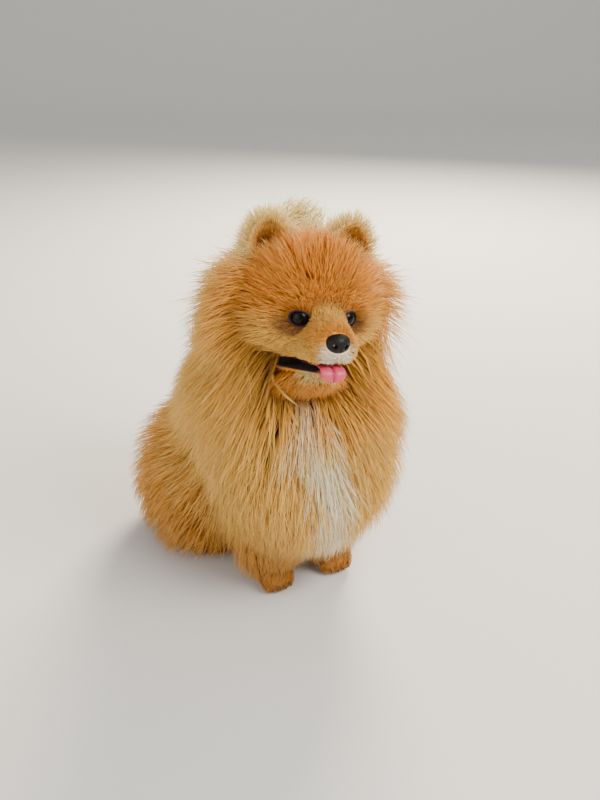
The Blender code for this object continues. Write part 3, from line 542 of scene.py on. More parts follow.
def surface(distance, axes):
    """Points and four-sided faces of the surface where distance is zero, on a grid."""
    sheets = (np.stack(np.meshgrid([x], *axes[1:], indexing="ij"), -1)[0] for x in axes[0])
    values = np.stack([distance(sheet) for sheet in sheets])
    inside = values < 0
    spans = [size - 1 for size in inside.shape]
    counts = np.zeros(spans, np.int8)
    corners = [np.array((i, j, k)) for i in (0, 1) for j in (0, 1) for k in (0, 1)]
    for i, j, k in corners:
        counts += inside[i : i + spans[0], j : j + spans[1], k : k + spans[2]]
    cells = np.argwhere((counts > 0) & (counts < 8))
    number = np.full(counts.shape, -1, np.int64)
    number[tuple(cells.T)] = np.arange(len(cells))
    total = np.zeros((len(cells), 3))
    hits = np.zeros(len(cells))
    for corner in corners:
        for axis in range(3):
            if corner[axis]:
                continue
            start = cells + corner
            end = start + np.eye(3, dtype=int)[axis]
            first = values[tuple(start.T)]
            last = values[tuple(end.T)]
            crossed = (first < 0) != (last < 0)
            share = (first / np.where(crossed, first - last, 1))[:, None]
            one = np.stack([axes[n][start[:, n]] for n in range(3)], -1)
            other = np.stack([axes[n][end[:, n]] for n in range(3)], -1)
            total[crossed] += (one + share * (other - one))[crossed]
            hits[crossed] += 1
    points = total / hits[:, None]
    faces = []
    for axis in range(3):
        one, other = [n for n in range(3) if n != axis]
        ahead = np.eye(3, dtype=int)
        low = [slice(1, -1)] * 3
        high = [slice(1, -1)] * 3
        low[axis] = slice(0, -1)
        high[axis] = slice(1, None)
        changed = np.argwhere(inside[tuple(low)] != inside[tuple(high)])
        changed += np.array([0 if n == axis else 1 for n in range(3)])
        ring = [changed, changed - ahead[one], changed - ahead[one] - ahead[other], changed - ahead[other]]
        quads = np.stack([number[tuple(place.T)] for place in ring], -1)
        outward = inside[tuple(changed.T)] == (axis != 1)
        quads[~outward] = quads[~outward][:, ::-1]
        faces.append(quads)
    return points, np.concatenate(faces)


def add_object(name, data):
    """A new object of the scene."""
    made = bpy.data.objects.new(name, data)
    bpy.context.scene.collection.objects.link(made)
    return made


def mesh_piece(name, points, faces):
    """A new smooth mesh object from points and faces of one size, which rides on the frame."""
    mesh = bpy.data.meshes.new(name)
    mesh.vertices.add(len(points))
    mesh.vertices.foreach_set("co", (points + SHIFT).astype(np.float32).ravel())
    mesh.loops.add(faces.size)
    mesh.loops.foreach_set("vertex_index", faces.astype(np.int32).ravel())
    mesh.polygons.add(len(faces))
    starts = np.arange(0, faces.size, faces.shape[1], dtype=np.int32)
    mesh.polygons.foreach_set("loop_start", starts)
    mesh.polygons.foreach_set("use_smooth", np.ones(len(faces), bool))
    mesh.update(calc_edges=True)
    made = add_object(name, mesh)
    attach(made, "root")
    return made


def dress(made, colours, material):
    """Gives a mesh its material and a colour for each point."""
    layer = made.data.attributes.new("markings", "FLOAT_COLOR", "POINT")
    full = np.concatenate([colours, np.ones((len(colours), 1))], axis=1)
    layer.data.foreach_set("color", full.astype(np.float32).ravel())
    made.data.materials.append(material)


# Materials


def set_inputs(node, values):
    """Sets the values of a node's sockets by their names."""
    for name, value in values.items():
        node.inputs[name].default_value = value


def principled(name, values, painted=True):
    """A new Principled material, with its colour or the markings that are painted on the mesh."""
    made = bpy.data.materials.new(name)
    made.use_nodes = True
    shader = made.node_tree.nodes["Principled BSDF"]
    set_inputs(shader, {"Base Color": (0.5, 0.5, 0.5, 1), **values})
    if painted:
        markings = made.node_tree.nodes.new("ShaderNodeAttribute")
        markings.attribute_name = "markings"
        made.node_tree.links.new(markings.outputs["Color"], shader.inputs["Base Color"])
    return made


def vary(made, scale, low, high):
    """Lightens and darkens the base colour of a material in soft spots."""
    tree = made.node_tree
    shader = tree.nodes["Principled BSDF"]
    source = shader.inputs["Base Color"].links[0].from_socket
    place = tree.nodes.new("ShaderNodeTexCoord")
    noise = tree.nodes.new("ShaderNodeTexNoise")
    set_inputs(noise, {"Scale": scale, "Detail": 3})
    levels = tree.nodes.new("ShaderNodeMapRange")
    set_inputs(levels, {"From Min": 0.3, "From Max": 0.7, "To Min": low, "To Max": high})
    times = tree.nodes.new("ShaderNodeVectorMath")
    times.operation = "SCALE"
    tree.links.new(place.outputs["Object"], noise.inputs["Vector"])
    tree.links.new(noise.outputs["Fac"], levels.inputs["Value"])
    tree.links.new(source, times.inputs[0])
    tree.links.new(levels.outputs["Result"], times.inputs["Scale"])
    tree.links.new(times.outputs["Vector"], shader.inputs["Base Color"])


def bump(made, scale, strength, distance, kind="ShaderNodeTexNoise", height="Fac"):
    """Adds fine relief to a material."""
    tree = made.node_tree
    place = tree.nodes.new("ShaderNodeTexCoord")
    relief = tree.nodes.new(kind)
    set_inputs(relief, {"Scale": scale})
    raised = tree.nodes.new("ShaderNodeBump")
    set_inputs(raised, {"Strength": strength, "Distance": distance})
    tree.links.new(place.outputs["Object"], relief.inputs["Vector"])
    tree.links.new(relief.outputs[height], raised.inputs["Height"])
    tree.links.new(raised.outputs["Normal"], tree.nodes["Principled BSDF"].inputs["Normal"])


def skin_material():
    """Skin under short hair."""
    made = principled("skin", {"Roughness": 0.75, "Sheen Weight": 0.04})
    vary(made, 260, 0.85, 1.12)
    bump(made, 1400, 0.5, 0.0004)
    return made


def hair_material(name):
    """Soft dry hair."""
    sheen = {"Sheen Weight": 0.10, "Sheen Roughness": 0.4, "Sheen Tint": (1.0, 0.82, 0.52, 1)}
    made = principled(name, {"Roughness": 0.55, "Specular IOR Level": 0.25, **sheen})
    vary(made, 90, 0.92, 1.08)
    return made


def wet_material(name, roughness, coat, more):
    """A smooth or wet surface under its markings."""
    wet = {"Roughness": roughness, "Coat Weight": coat, "Coat Roughness": 0.04}
    return principled(name, {**wet, **more})


# Markings


def near(points, place, radius, softness):
    """1 within a radius of a place, falling to 0 over a softness beyond it."""
    return 1 - ramp(np.linalg.norm(points - np.array(place), axis=-1), radius, radius + softness)


def mix(base, other, share):
    """Two colours mixed, with the share of the other at each point."""
    return base + (other - base) * share[:, None]


# Colour, share, place, radius and softness of small spots of the face: lips, brow, and below the eye
FACE_SPOTS = (
    (WHITE, 0.85, (0.0, -0.0885, 0.2265), 0.0065, 0.0065),
    (BROWN, 0.55, (0.0045, -0.0590, 0.2465), 0.0020, 0.0080),
    (BROWN, 0.90, (0.0088, -0.0608, 0.2375), 0.0020, 0.0055),
    (BROWN, 0.85, (0.0150, -0.0590, 0.2335), 0.0020, 0.0050),
    (BROWN, 0.80, (0.0235, -0.0540, 0.2360), 0.0015, 0.0055),
)


def head_markings(points):
    """The face: rust above, golden cheeks, a pale muzzle, dark round the eyes; rust under the jaw and brown
    at the mouth's corner, partly their own colour and partly painted shade.
    """
    places = straight(points)
    x, y, z = abs(places[:, 0]), places[:, 1], places[:, 2]
    both = np.stack([x, y, z], -1)
    colour = np.tile(RUST, (len(points), 1))
    colour = mix(colour, TAN, 1 - ramp(z, 0.222, 0.246))
    colour = mix(colour, GOLD, 0.80 * ramp(y, -0.040, -0.012))
    colour = mix(colour, GOLD, 0.8 * near(both, (0.024, -0.048, 0.228), 0.006, 0.014))
    colour = mix(colour, CREAM, 0.5 * ramp(y, -0.020, 0.004) * ramp(z, 0.250, 0.272))
    colour = mix(colour, GOLD, 0.8 * near(both, (0.0, -0.072, 0.2430), 0.004, 0.014))
    muzzle = (1 - ramp(z, 0.222, 0.240)) * (1 - ramp(y, -0.066, -0.048))
    colour = mix(colour, GOLD, 0.8 * muzzle)
    for spot, share, place, radius, softness in FACE_SPOTS:
        colour = mix(colour, spot, share * near(both, place, radius, softness))
    socket = near(both, (EYE[0], EYE[1] - 0.002, EYE[2] - 0.0005), 0.0078, 0.0035)
    colour = mix(colour, BROWN, 0.80 * socket * (1 - 0.6 * ramp(z, EYE[2], EYE[2] + 0.006)))
    # Rust under the jaw: partly the coat's colour, partly painted shade below the muzzle
    jaw = (1 - ramp(z, 0.2060, 0.2100)) * (1 - ramp(y, -0.036, -0.026))
    colour = mix(colour, RUST, 0.8 * jaw)
    lower_lip = jaw * ramp(z, 0.2005, 0.2030) * (1 - ramp(y, -0.064, -0.054))
    colour = mix(colour, CREAM, 0.9 * lower_lip)
    # Brown at the mouth's corner: partly dark lip, partly painted shade in the fold of the corner
    corner = 1 - ramp(np.hypot(y + 0.034, (z - 0.2010) * 0.7), 0.006, 0.016)
    return mix(colour, BROWN, 0.80 * corner * (1 - ramp(z, 0.209, 0.216)))


def body_markings(points):
    """The body: gold ruff, white bib, tan trunk and haunches, and legs darkened by painted shade, most near
    the floor.
    """
    x, y, z = points.T
    colour = np.tile(TAN, (len(points), 1))
    colour = mix(colour, GOLD, ramp(z, 0.06, 0.14) * (1 - ramp(y, 0.02, 0.07)))
    # Rust below the jaw: partly the coat's colour, partly painted shade under the chin
    throat = ramp(z, 0.165, 0.200) * (1 - ramp(z, 0.222, 0.240)) * (1 - ramp(y, -0.040, -0.012))
    colour = mix(colour, RUST, 0.55 * throat)
    nape = ramp(z, 0.215, 0.250) * ramp(y, -0.016, 0.010)
    colour = mix(colour, CREAM, 0.65 * nape)
    middle = BIB_MIDDLE - BIB_SLANT * np.clip((z - 0.10) / 0.085, -0.3, 1.1)
    width = 0.0025 + 0.0040 * (1 - ramp(z, 0.07, 0.19))
    bib = (1 - ramp(abs(x - middle), width, width + 0.006)) * (1 - ramp(y, -0.036, -0.018))
    bib = bib * (1 - ramp(z, 0.168, 0.192)) * ramp(z, 0.030, 0.050)
    colour = mix(colour, WHITE, bib)
    colour = mix(colour, RUST, 0.45 * near(points, (0, 0.09, 0.105), 0.030, 0.030))
    # Painted shade: the legs are darker low down, but for the bib
    low_leg_shade = (1 - ramp(z, 0.040, 0.085)) * (1 - bib)
    colour = mix(colour, SHADE, 0.6 * low_leg_shade)
    # Painted shade: the paws turn brown next to the floor
    return mix(colour, BROWN, 0.30 * (1 - ramp(z, 0.010, 0.040)))


def tail_markings(points):
    """The plume: gold at its root and cream along its length."""
    return mix(np.tile(GOLD, (len(points), 1)), CREAM, ramp(points[:, 2], 0.12, 0.22))


def ear_markings(points):
    """The ears: gold, rust in the cup and brown at its middle as painted shade, with a cream rim and pale
    hair on the cup's inner side.
    """
    colour = np.tile(GOLD, (len(points), 1))
    for sign in (1, -1):
        inner = moved(points, ear_matrix(sign).inverted())
        own = inner[:, 0] * sign
        here = np.linalg.norm(inner, axis=-1) < 2 * EAR_SIZE[2]
        rim = ramp(np.hypot(own / EAR_SIZE[0], inner[:, 2] / EAR_SIZE[2]), 0.70, 0.95)
        cup = near(inner, (sign * 0.002, -0.003, -0.002), 0.008, 0.005)
        colour = mix(colour, RUST, 0.9 * cup)
        colour = mix(colour, CREAM, 0.85 * rim * here)
        # Painted shade in the hollow middle of the ear's cup
        deep = near(inner, (sign * 0.002, -0.002, -0.003), 0.004, 0.007)
        colour = mix(colour, BROWN, 0.9 * deep)
        pale = near(inner, (-sign * 0.0105, -0.004, -0.006), 0.002, 0.006)
        colour = mix(colour, WHITE, 0.8 * pale)
    return colour


def nearest_part(points):
    """The name of the part of the body that each point lies on."""
    names = list(FLESH) + ["ear", "paw"]
    distances = [FLESH[name](points) for name in FLESH]
    distances[0] = np.minimum(closed_head(points), distances[0])
    distances += [ear_distance(points) - PART_EDGE, paw_distance(points) - PART_EDGE]
    return np.array(names)[np.argmin(distances, axis=0)]


def markings(points):
    """The colour of skin and coat at each point of the skin."""
    colour = body_markings(points)
    head = 1 - ramp(closed_head(points) - body_distance(points), -0.006, 0.006)
    colour = mix(colour, head_markings(points), head)
    ears = 1 - ramp(ear_distance(points), 0.001, 0.005)
    colour = mix(colour, ear_markings(points), ears)
    tail = 1 - ramp(FLESH["tail"](points), 0.002, 0.010)
    return mix(colour, tail_markings(points), tail)


def skin_colours(points):
    """The markings, with bare dark lips and rims of the eyes, and the inside of the mouth painted dark as its
    shade.
    """
    colour = markings(points)
    # The lips are dark in their own right; the inside of the mouth, with the wall in its middle, is painted
    # dark as painted shade
    mouth = 1 - ramp(mouth_slot(points)[0], 0.0002, 0.0014)
    mouth = mouth * (1 - ramp(closed_head(points), 0.018, 0.028))
    colour = mix(colour, DARK, mouth)
    rims = eye_opening(points)
    colour = mix(colour, BROWN, 0.9 * (1 - ramp(rims, 0.0012, 0.0034)))
    return mix(colour, DARK, 1 - ramp(rims, 0.0006, 0.0018))


def skin():
    """The one skin of the dog, unwrapped for its coat."""
    axes = [
        axis_steps((-0.090, -0.042, 0.046, 0.090), (0.0022, 0.0009, 0.0022)),
        axis_steps((-0.106, -0.036, 0.160), (0.0009, 0.0022)),
        axis_steps((-0.004, 0.196, 0.308), (0.0020, 0.0009)),
    ]
    points, faces = surface(skin_form, axes)
    made = mesh_piece("skin", points, faces)
    dress(made, skin_colours(points), skin_material())
    bpy.context.view_layer.objects.active = made
    made.select_set(True)
    bpy.ops.object.mode_set(mode="EDIT")
    bpy.ops.mesh.select_all(action="SELECT")
    bpy.ops.uv.smart_project(angle_limit=math.radians(66), island_margin=0.002)
    bpy.ops.object.mode_set(mode="OBJECT")
    made.select_set(False)
    made.data.uv_layers[0].name = "OFBake"
    unwrap = np.zeros(len(made.data.loops) * 2, np.float32)
    made.data.uv_layers[0].data.foreach_get("uv", unwrap)
    return made, points, faces, unwrap.reshape(faces.shape[0], 4, 2)


# The lie of the hair


def lie_of_neck(points):
    """Out from behind the face, and more and more downward below the jaw."""
    out = unit(points - turned((0, -0.030, 0.235)))
    fall = ramp(0.262 - points[..., 2], 0.0, 0.085)[..., None]
    return unit(out * (1.15 - fall) + np.array([0, 0.08, -1.0]) * fall)


def leaning(x, y, z):
    """A lie that is the same all over, but for how much it leans outward with x."""

    def lie(points):
        still = np.ones(points.shape[:-1])
        return unit(np.stack([points[..., 0] * x, y * still, z * still], -1))

    return lie


def lie_of_tail(points):
    """Towards the tail's tip, and out from its line."""
    line = np.array(TAIL_LINE)
    nearest = np.argmin(np.linalg.norm(points[:, None] - line[None], axis=-1), axis=1)
    ahead = unit(line[np.minimum(nearest + 1, len(line) - 1)] - line[np.maximum(nearest - 1, 0)])
    return unit(ahead + 0.55 * unit(points - line[nearest]))


def lie_of_head(points):
    """Away from the nose, and round the eyes."""
    way = unit(points - turned(NOSE)) + np.array([0, 0.25, -0.1])
    for sign in (1, -1):
        away = points - turned(side(EYE, sign))
        close = 1 - ramp(np.linalg.norm(away, axis=-1), 0.010, 0.018)
        way = way + 1.6 * close[..., None] * unit(away)
    beside = 1 - ramp(mouth_form(points), 0.003, 0.012)
    return unit(way + 0.9 * beside[..., None] * slope_of(mouth_form, points))


LIES = {
    "neck": lie_of_neck,
    "chest": leaning(3.0, -0.10, -1.0),
    "torso": leaning(3.0, 0.75, -0.85),
    "thigh": leaning(4.0, 0.40, -0.95),
    "foreleg": leaning(0.0, -0.40, -1.0),
}


def lie_of_coat(points):
    """The way the body's hair lies: that of the nearest part, with a smooth change between parts."""
    weights = body_weights(points)
    return unit(sum(weights[part][..., None] * LIES[part](points) for part in BODY_PARTS))


def head_depth(points):
    """The depth of the head's coat."""
    return part_coat("head", points)


def ear_distance(points):
    """Distance outside both ears."""
    return np.minimum(EARS[0](points), EARS[1](points))


def lie_of_ear(points):
    """From low in the cup out over the ear's edge."""
    way = np.zeros(points.shape)
    for sign in (1, -1):
        low = np.array(ear_matrix(sign) @ Vector((0, -0.002, -0.006)))
        away = points - low
        close = np.linalg.norm(away, axis=-1, keepdims=True) < 2 * EAR_SIZE[2]
        way = way + close * unit(away)
    return unit(way + HEAD_WAYS @ (0, 0.10, 0.35))


def mane_depth(points):
    """How far the long hair round the face reaches: less on the crown than at the sides."""
    return 0.056 - 0.031 * ramp(straight(points)[..., 2], 0.248, 0.274)


def lie_of_mane(points):
    """Out from the line through nose and nape, and somewhat back."""
    place = straight(points) - (0, 0, 0.236)
    out = unit(place * (1, 0, 1))
    return unit(out + (0, 0.22, 0)) @ HEAD_WAYS.T


def paw_distance(points):
    """Distance outside the four paws."""
    return np.minimum(FOREPAWS(points), HINDPAWS(points))


def level(depth):
    """A coat of one depth."""
    return lambda points: np.full(points.shape[:-1], depth)


BODY_FIELD = (body_distance, coat_depth, lie_of_coat)
FIELDS = {
    "head": (lidded_head, head_depth, lie_of_head),
    "mane": (closed_head, mane_depth, lie_of_mane),
    "ear": (ear_distance, level(0.0085), lie_of_ear),
    "lid": (lidded_head, level(0.0022), lie_of_head),
    "paw": (paw_distance, level(0.0026), leaning(0.0, -1.0, -0.45)),
    "tail": (FLESH["tail"], level(COATS["tail"]), lie_of_tail),
}


# The coat


# How far round the nose, mouth and eyes no hair grows, and up to which height on the soles
BARE_NOSE = 0.0002
BARE_LIPS = 0.0010
BARE_LIDS = 0.0009
BARE_SOLE = 0.0022
LIP_REACH = 0.032


def bare(points):
    """True where no hair grows: the mouth and lips, the nose, the eyes, and the soles."""
    nose = on_head(ball(NOSE, NOSE_SIZE))(points) < BARE_NOSE
    lips = (mouth_slot(points)[0] < BARE_LIPS) & (closed_head(points) < LIP_REACH)
    eyes = eye_opening(points) < BARE_LIDS
    return nose | lips | eyes | (points[:, 2] < BARE_SOLE)


def roots_on(skin_parts, part, count, draw):
    """Places on the skin of a part, with their place on its unwrap."""
    points, faces, unwrap, labels, sizes = skin_parts
    chosen = np.flatnonzero(labels == ("head" if part in ("lid", "mane") else part))
    centres = points[faces[chosen]].mean(axis=1)
    weights = sizes[chosen].copy()
    if part == "head":
        weights /= 0.25 + head_depth(centres) / 0.010
    if part == "mane":
        weights *= ramp(straight(centres)[:, 1], -0.034, -0.014)
    if part == "lid":
        places = [turned(side(EYE, sign)) for sign in (1, -1)]
        weights *= np.max([near(centres, place, 0.0098, 0.0020) for place in places], axis=0)
    picks = chosen[draw.choice(len(chosen), count, p=weights / weights.sum())]
    u, v = draw.uniform(0, 1, (2, count, 1))
    corners = points[faces[picks]]
    flats = unwrap[picks]

    def spread(four):
        low = four[:, 0] * (1 - u) + four[:, 1] * u
        high = four[:, 3] * (1 - u) + four[:, 2] * u
        return low * (1 - v) + high * v

    roots = spread(corners)
    keep = ~bare(roots)
    return roots[keep], spread(flats)[keep]


def trace(roots, field, lengths, sways, bends, reach, shares):
    """Lines from the roots along the lie of the hair, which rise to their reach in the coat."""
    distance, depth, lie = field
    points = roots.copy()
    normal = slope_of(distance, points)
    lines = [points - 0.0012 * normal]
    normals = [normal]
    start = np.clip(distance(points) / depth(points), 0.0, 0.8)
    for last, share in zip(shares, shares[1:]):
        way = lie(points)
        way = unit(way - (way * normal).sum(-1, keepdims=True) * normal)
        angle = (sways + bends * share)[:, None]
        way = way * np.cos(angle) + np.cross(normal, way) * np.sin(angle)
        points = points + way * (lengths * (share - last))[:, None]
        goal = start + (reach - start) * share**0.75
        for _ in range(2):
            off = goal * depth(points) - distance(points)
            points = points + slope_of(distance, points) * np.clip(off, -0.03, 0.03)[:, None]
        points[:, 2] = np.maximum(points[:, 2], LOWEST_LINE + 0.0008 * share)
        normal = slope_of(distance, points)
        lines.append(points.copy())
        normals.append(normal)
    return np.stack(lines, 1), np.stack(normals, 1)


def stand(roots, field, lengths, shares, fall, draw):
    """Nearly straight lines that lean out of the skin along the lie of the hair, and face ahead."""
    distance, _, lie = field
    ahead = HEAD_WAYS @ (0, -1, 0.1)
    normal = slope_of(distance, roots)
    lean = 0.30 + 0.60 * ramp(normal @ ahead, 0.2, 0.6)
    way = unit(lie(roots) + lean[:, None] * normal + draw.normal(0, 0.12, roots.shape))
    curl = draw.normal(0, 0.16, roots.shape) - np.array([0, 0, fall])
    lines = [roots - 0.0010 * normal]
    for share in shares[1:]:
        lines.append(roots + (way + curl * share) * (lengths * share)[:, None])
    return np.stack(lines, 1), np.tile(ahead, (len(roots), len(shares), 1))


def even(lines, lengths, shares):
    """True for the lines that are kept.

    The others enter the mouth, cross the bib, lie across the throat, bend sharply, or have a step that is
    far longer than the rest.
    """
    steps = np.diff(lines, axis=1)
    sizes = np.linalg.norm(steps, axis=-1)
    usual = lengths[:, None] * np.diff(shares)[None] + 0.010
    turns = (unit(steps[:, 1:-1]) * unit(steps[:, 2:])).sum(-1)
    between = lines[:, :-1, None] + steps[:, :, None] * (np.arange(1, 9) / 8)[:, None]
    between = between.reshape(len(lines), -1, 3)
    in_mouth = (mouth_slot(between)[0] < -0.0004) & (closed_head(between) < 0.022)
    x, y, z = lines[:, 0].T
    aside, _, fall = abs(lines[:, -1] - lines[:, 0]).T
    crossing = (aside > 0.026) & (abs(x) < 0.012) & (z < 0.172)
    lying = (aside > 0.018) & (aside > fall) & (abs(x) < 0.026) & (z < 0.205)
    astray = (crossing | lying) & (y < -0.02)
    return ~in_mouth.any(1) & ~astray & (sizes < 2.0 * usual).all(1) & (turns > 0.2).all(1)


def leading(roots, lines, share, draw):
    """For each line, that of the leading tuft whose root is nearest."""
    leaders = draw.choice(len(roots), max(1, int(len(roots) * share)), replace=False)
    tree = KDTree(len(leaders))
    for number, leader in enumerate(leaders):
        tree.insert(roots[leader], number)
    tree.balance()
    nearest = np.array([leaders[tree.find(root)[1]] for root in roots])
    return lines[nearest]


def tuft_mesh(lines, normals, widths, thicknesses):
    """Points and triangles of flat, tapered tufts, and the share along the tuft of each point."""
    count, rings = lines.shape[0], lines.shape[1] - 1
    share = np.linspace(0, 1, rings + 1)[:-1]
    size = np.minimum(1, 0.7 + share) * (1 - 0.85 * share**2.0)
    along = unit(np.diff(lines, axis=1))
    across = unit(np.cross(along, normals[:, :-1]))
    out = np.cross(across, along)
    half = across * (size[None, :] * widths[:, None] / 2)[..., None]
    back = out * (size[None, :] * thicknesses[:, None])[..., None]
    here = lines[:, :-1]
    body = np.stack([here - half, here + half, here + back], 2).reshape(count, rings * 3, 3)
    points = np.concatenate([body, lines[:, -1:]], axis=1)
    shares = np.append(np.repeat(share, 3), 1.0)
    faces = [(0, 2, 1)]
    for ring in range(rings - 1):
        for k in range(3):
            low, after = ring * 3 + k, ring * 3 + (k + 1) % 3
            faces += [(low, after, after + 3), (low, after + 3, low + 3)]
    for k in range(3):
        faces.append(((rings - 1) * 3 + k, (rings - 1) * 3 + (k + 1) % 3, rings * 3))
    start = np.arange(count)[:, None, None] * (rings * 3 + 1)
    return points, np.array(faces)[None] + start, shares


def coat_lines(part, skin_parts, spec, reach, seed):
    """Lines, normals, roots and unwrap places of the tufts of a part."""
    count, rings, length, _, _, pull = spec
    draw = np.random.default_rng(seed)
    roots, flats = roots_on(skin_parts, part, count, draw)
    if part == "tail":
        keep = body_distance(roots) > 0.010
        roots, flats = roots[keep], flats[keep]
    field = FIELDS.get(part, BODY_FIELD)
    number = len(roots)
    lengths = length * draw.uniform(*LENGTH_SPREAD, number)
    if part in ("head", "neck"):
        lengths = lengths * np.clip(field[1](roots) / COATS[part], 0.12, 1.35)
    if part == "mane":
        lengths = lengths * field[1](roots) / MANE_DEPTH
    loose = draw.uniform(0, 1, number) < LOOSE_SHARE
    sways = draw.normal(0, SWAY, number) + loose * draw.normal(0, LOOSE_SWAY, number)
    bends = draw.normal(0, BEND, number)
    reaches = draw.uniform(*reach, number) + loose * draw.uniform(0.0, 0.10, number)
    shares = np.linspace(0, 1, rings) ** 0.8
    if part in STANDING:
        lines, normals = stand(roots, field, lengths, shares, STANDING[part], draw)
    else:
        lines, normals = trace(roots, field, lengths, sways, bends, reaches, shares)
    keep = even(lines, lengths, shares)
    lines, normals, roots, flats = lines[keep], normals[keep], roots[keep], flats[keep]
    number = len(roots)
    if pull:
        led = leading(roots, lines, LEADING_SHARE, draw)
        amount = (pull * shares**1.2)[None, :, None] * draw.uniform(0.6, 1.0, number)[:, None, None]
        lines = lines + (led - lines) * amount
        wave = draw.normal(0, 0.0006, (number, rings, 3)) * shares[None, :, None]
        lines = lines + wave * min(1, length / 0.04)
        lines[:, 1:, 2] = np.maximum(lines[:, 1:, 2], LOWEST_LINE)
    beyond = np.maximum(abs(lines[..., 0]) - WIDEST, 0)
    lines[..., 0] -= np.sign(lines[..., 0]) * beyond * 0.7
    return lines, normals, roots, flats, draw


def tuft_colours(base, bright, paler, shares, short, light):
    """Colours along each tuft: darker at the root, as painted shade deep in the coat, and paler at the tip.
    """
    tone = base[:, None, :] * bright[:, None, None]
    low, spread = (0.06, 0.24) if short else (0.10, 0.38)
    tip = tone + (CREAM - tone) * (low + spread * paler)[:, None, None]
    along = shares[None, :, None]
    # Painted shade: darker towards the root, and darker still for the tufts near the skin
    colours = tone * (0.74 + 0.26 * ramp(along, 0.0, 0.6)) * light
    colours = colours + (tip * light - colours) * ramp(along, 0.45, 1.0)
    return colours.reshape(-1, 3).clip(0, 1)


def coat_pieces(part, skin_parts, spec, reach, name, light, seed):
    """The tufts of a part as pieces of limited size."""
    lines, normals, roots, flats, draw = coat_lines(part, skin_parts, spec, reach, seed)
    sizes = draw.uniform(0.75, 1.25, len(lines))
    widths, thicknesses = spec[3] * sizes, spec[4] * sizes
    base = markings(roots)
    bright = draw.normal(1.0, 0.10, len(lines)).clip(0.7, 1.3)
    paler = draw.uniform(0, 1, len(lines)) ** 2
    order = np.argsort(np.arctan2(roots[:, 0], -roots[:, 1]), kind="stable")
    triangles = (lines.shape[1] - 2) * 6 + 4
    parts = max(1, math.ceil(len(lines) / (PIECE_TRIANGLES // triangles)))
    for number, chosen in enumerate(np.array_split(order, parts)):
        points, faces, shares = tuft_mesh(lines[chosen], normals[chosen], widths[chosen], thicknesses[chosen])
        points[..., 2] = np.maximum(points[..., 2], LOWEST_POINT)
        tag = "" if parts == 1 else f"_{number + 1}"
        flat_faces = faces.reshape(-1, 3)
        piece = mesh_piece(f"{name}_{part}{tag}", points.reshape(-1, 3), flat_faces)
        short = part in SHORT_PARTS
        colours = tuft_colours(base[chosen], bright[chosen], paler[chosen], shares, short, light)
        dress(piece, colours, hair_material(piece.name))
        unwrap_tufts(piece, flats[chosen], shares, flat_faces)


def unwrap_tufts(piece, flats, shares, faces):
    """Gives each tuft a small patch at its root's place on the skin's unwrap."""
    across = np.append(np.tile([0.0, 1.0, 0.5], (len(shares) - 1) // 3), 0.5)
    patch = PATCH * (np.stack([across, shares], -1) - 0.5)
    places = (flats[:, None, :] + patch[None]).clip(0, 1).reshape(-1, 2)
    layer = piece.data.uv_layers.new(name="OFBake")
    layer.data.foreach_set("uv", places[faces.ravel()].astype(np.float32).ravel())


def coat(skin_parts):
    """The whole coat: broad tufts near the skin, darkened as painted shade, and fine ones over them."""
    share = 1.0
    for number, (part, spec) in enumerate(UNDERCOAT.items()):
        spec = (int(spec[0] * share**0.5), *spec[1:])
        # Painted shade: the tufts near the skin are made darker
        coat_pieces(part, skin_parts, spec, UNDER_REACH, "undercoat", UNDER_LIGHT, SEED + 50 + number)
    for number, (part, spec) in enumerate(TUFTS.items()):
        spec = (int(spec[0] * share), *spec[1:3], spec[3] / share**0.5, *spec[4:])
        coat_pieces(part, skin_parts, spec, OVER_REACH, "coat", 1.0, SEED + number)


# Eyes, lids, nose, tongue and claws


def moved(points, matrix):
    """Points moved and turned by a matrix."""
    return points @ np.array(matrix.to_3x3()).T + np.array(matrix.translation)


def round_turns(sides):
    """Angles once round a ring."""
    return np.linspace(0, math.tau, sides, endpoint=False)


def round_grid(rings, sides):
    """Faces of a grid that closes on itself one way."""
    faces = []
    for i in range(rings - 1):
        for k in range(sides):
            after = (k + 1) % sides
            faces.append((i * sides + k, i * sides + after, (i + 1) * sides + after, (i + 1) * sides + k))
    return np.array(faces)


def eyeball(sign, name):
    """An eyeball with a raised cornea, a dark iris and a black pupil."""
    sides = 48
    angles = np.linspace(0.004, math.pi - 0.004, 40)
    turns = round_turns(sides)
    radius = EYE_RADIUS + CORNEA_RISE * np.exp(-((angles / 0.62) ** 2))
    wide = (np.sin(angles) * radius)[:, None]
    high = (np.cos(angles) * radius)[:, None] + 0 * turns[None]
    points = np.stack([wide * np.cos(turns)[None], wide * np.sin(turns)[None], high], -1).reshape(-1, 3)
    made = mesh_piece(name, moved(points, eye_matrix(sign)), round_grid(len(angles), sides))
    angle = np.repeat(angles, sides)
    streak = 1 + 0.25 * np.sin(np.tile(turns, len(angles)) * 17)
    white = ramp(angle, 0.60, 0.80)
    colour = IRIS[None] * streak[:, None] * (1 - white)[:, None] + EYE_WHITE[None] * white[:, None]
    colour = mix(colour, PUPIL, 1 - ramp(angle, 0.34, 0.40))
    dress(made, colour, wet_material(name, 0.10, 0.0, {"IOR": 1.33, "Specular IOR Level": 0.30}))
    return made


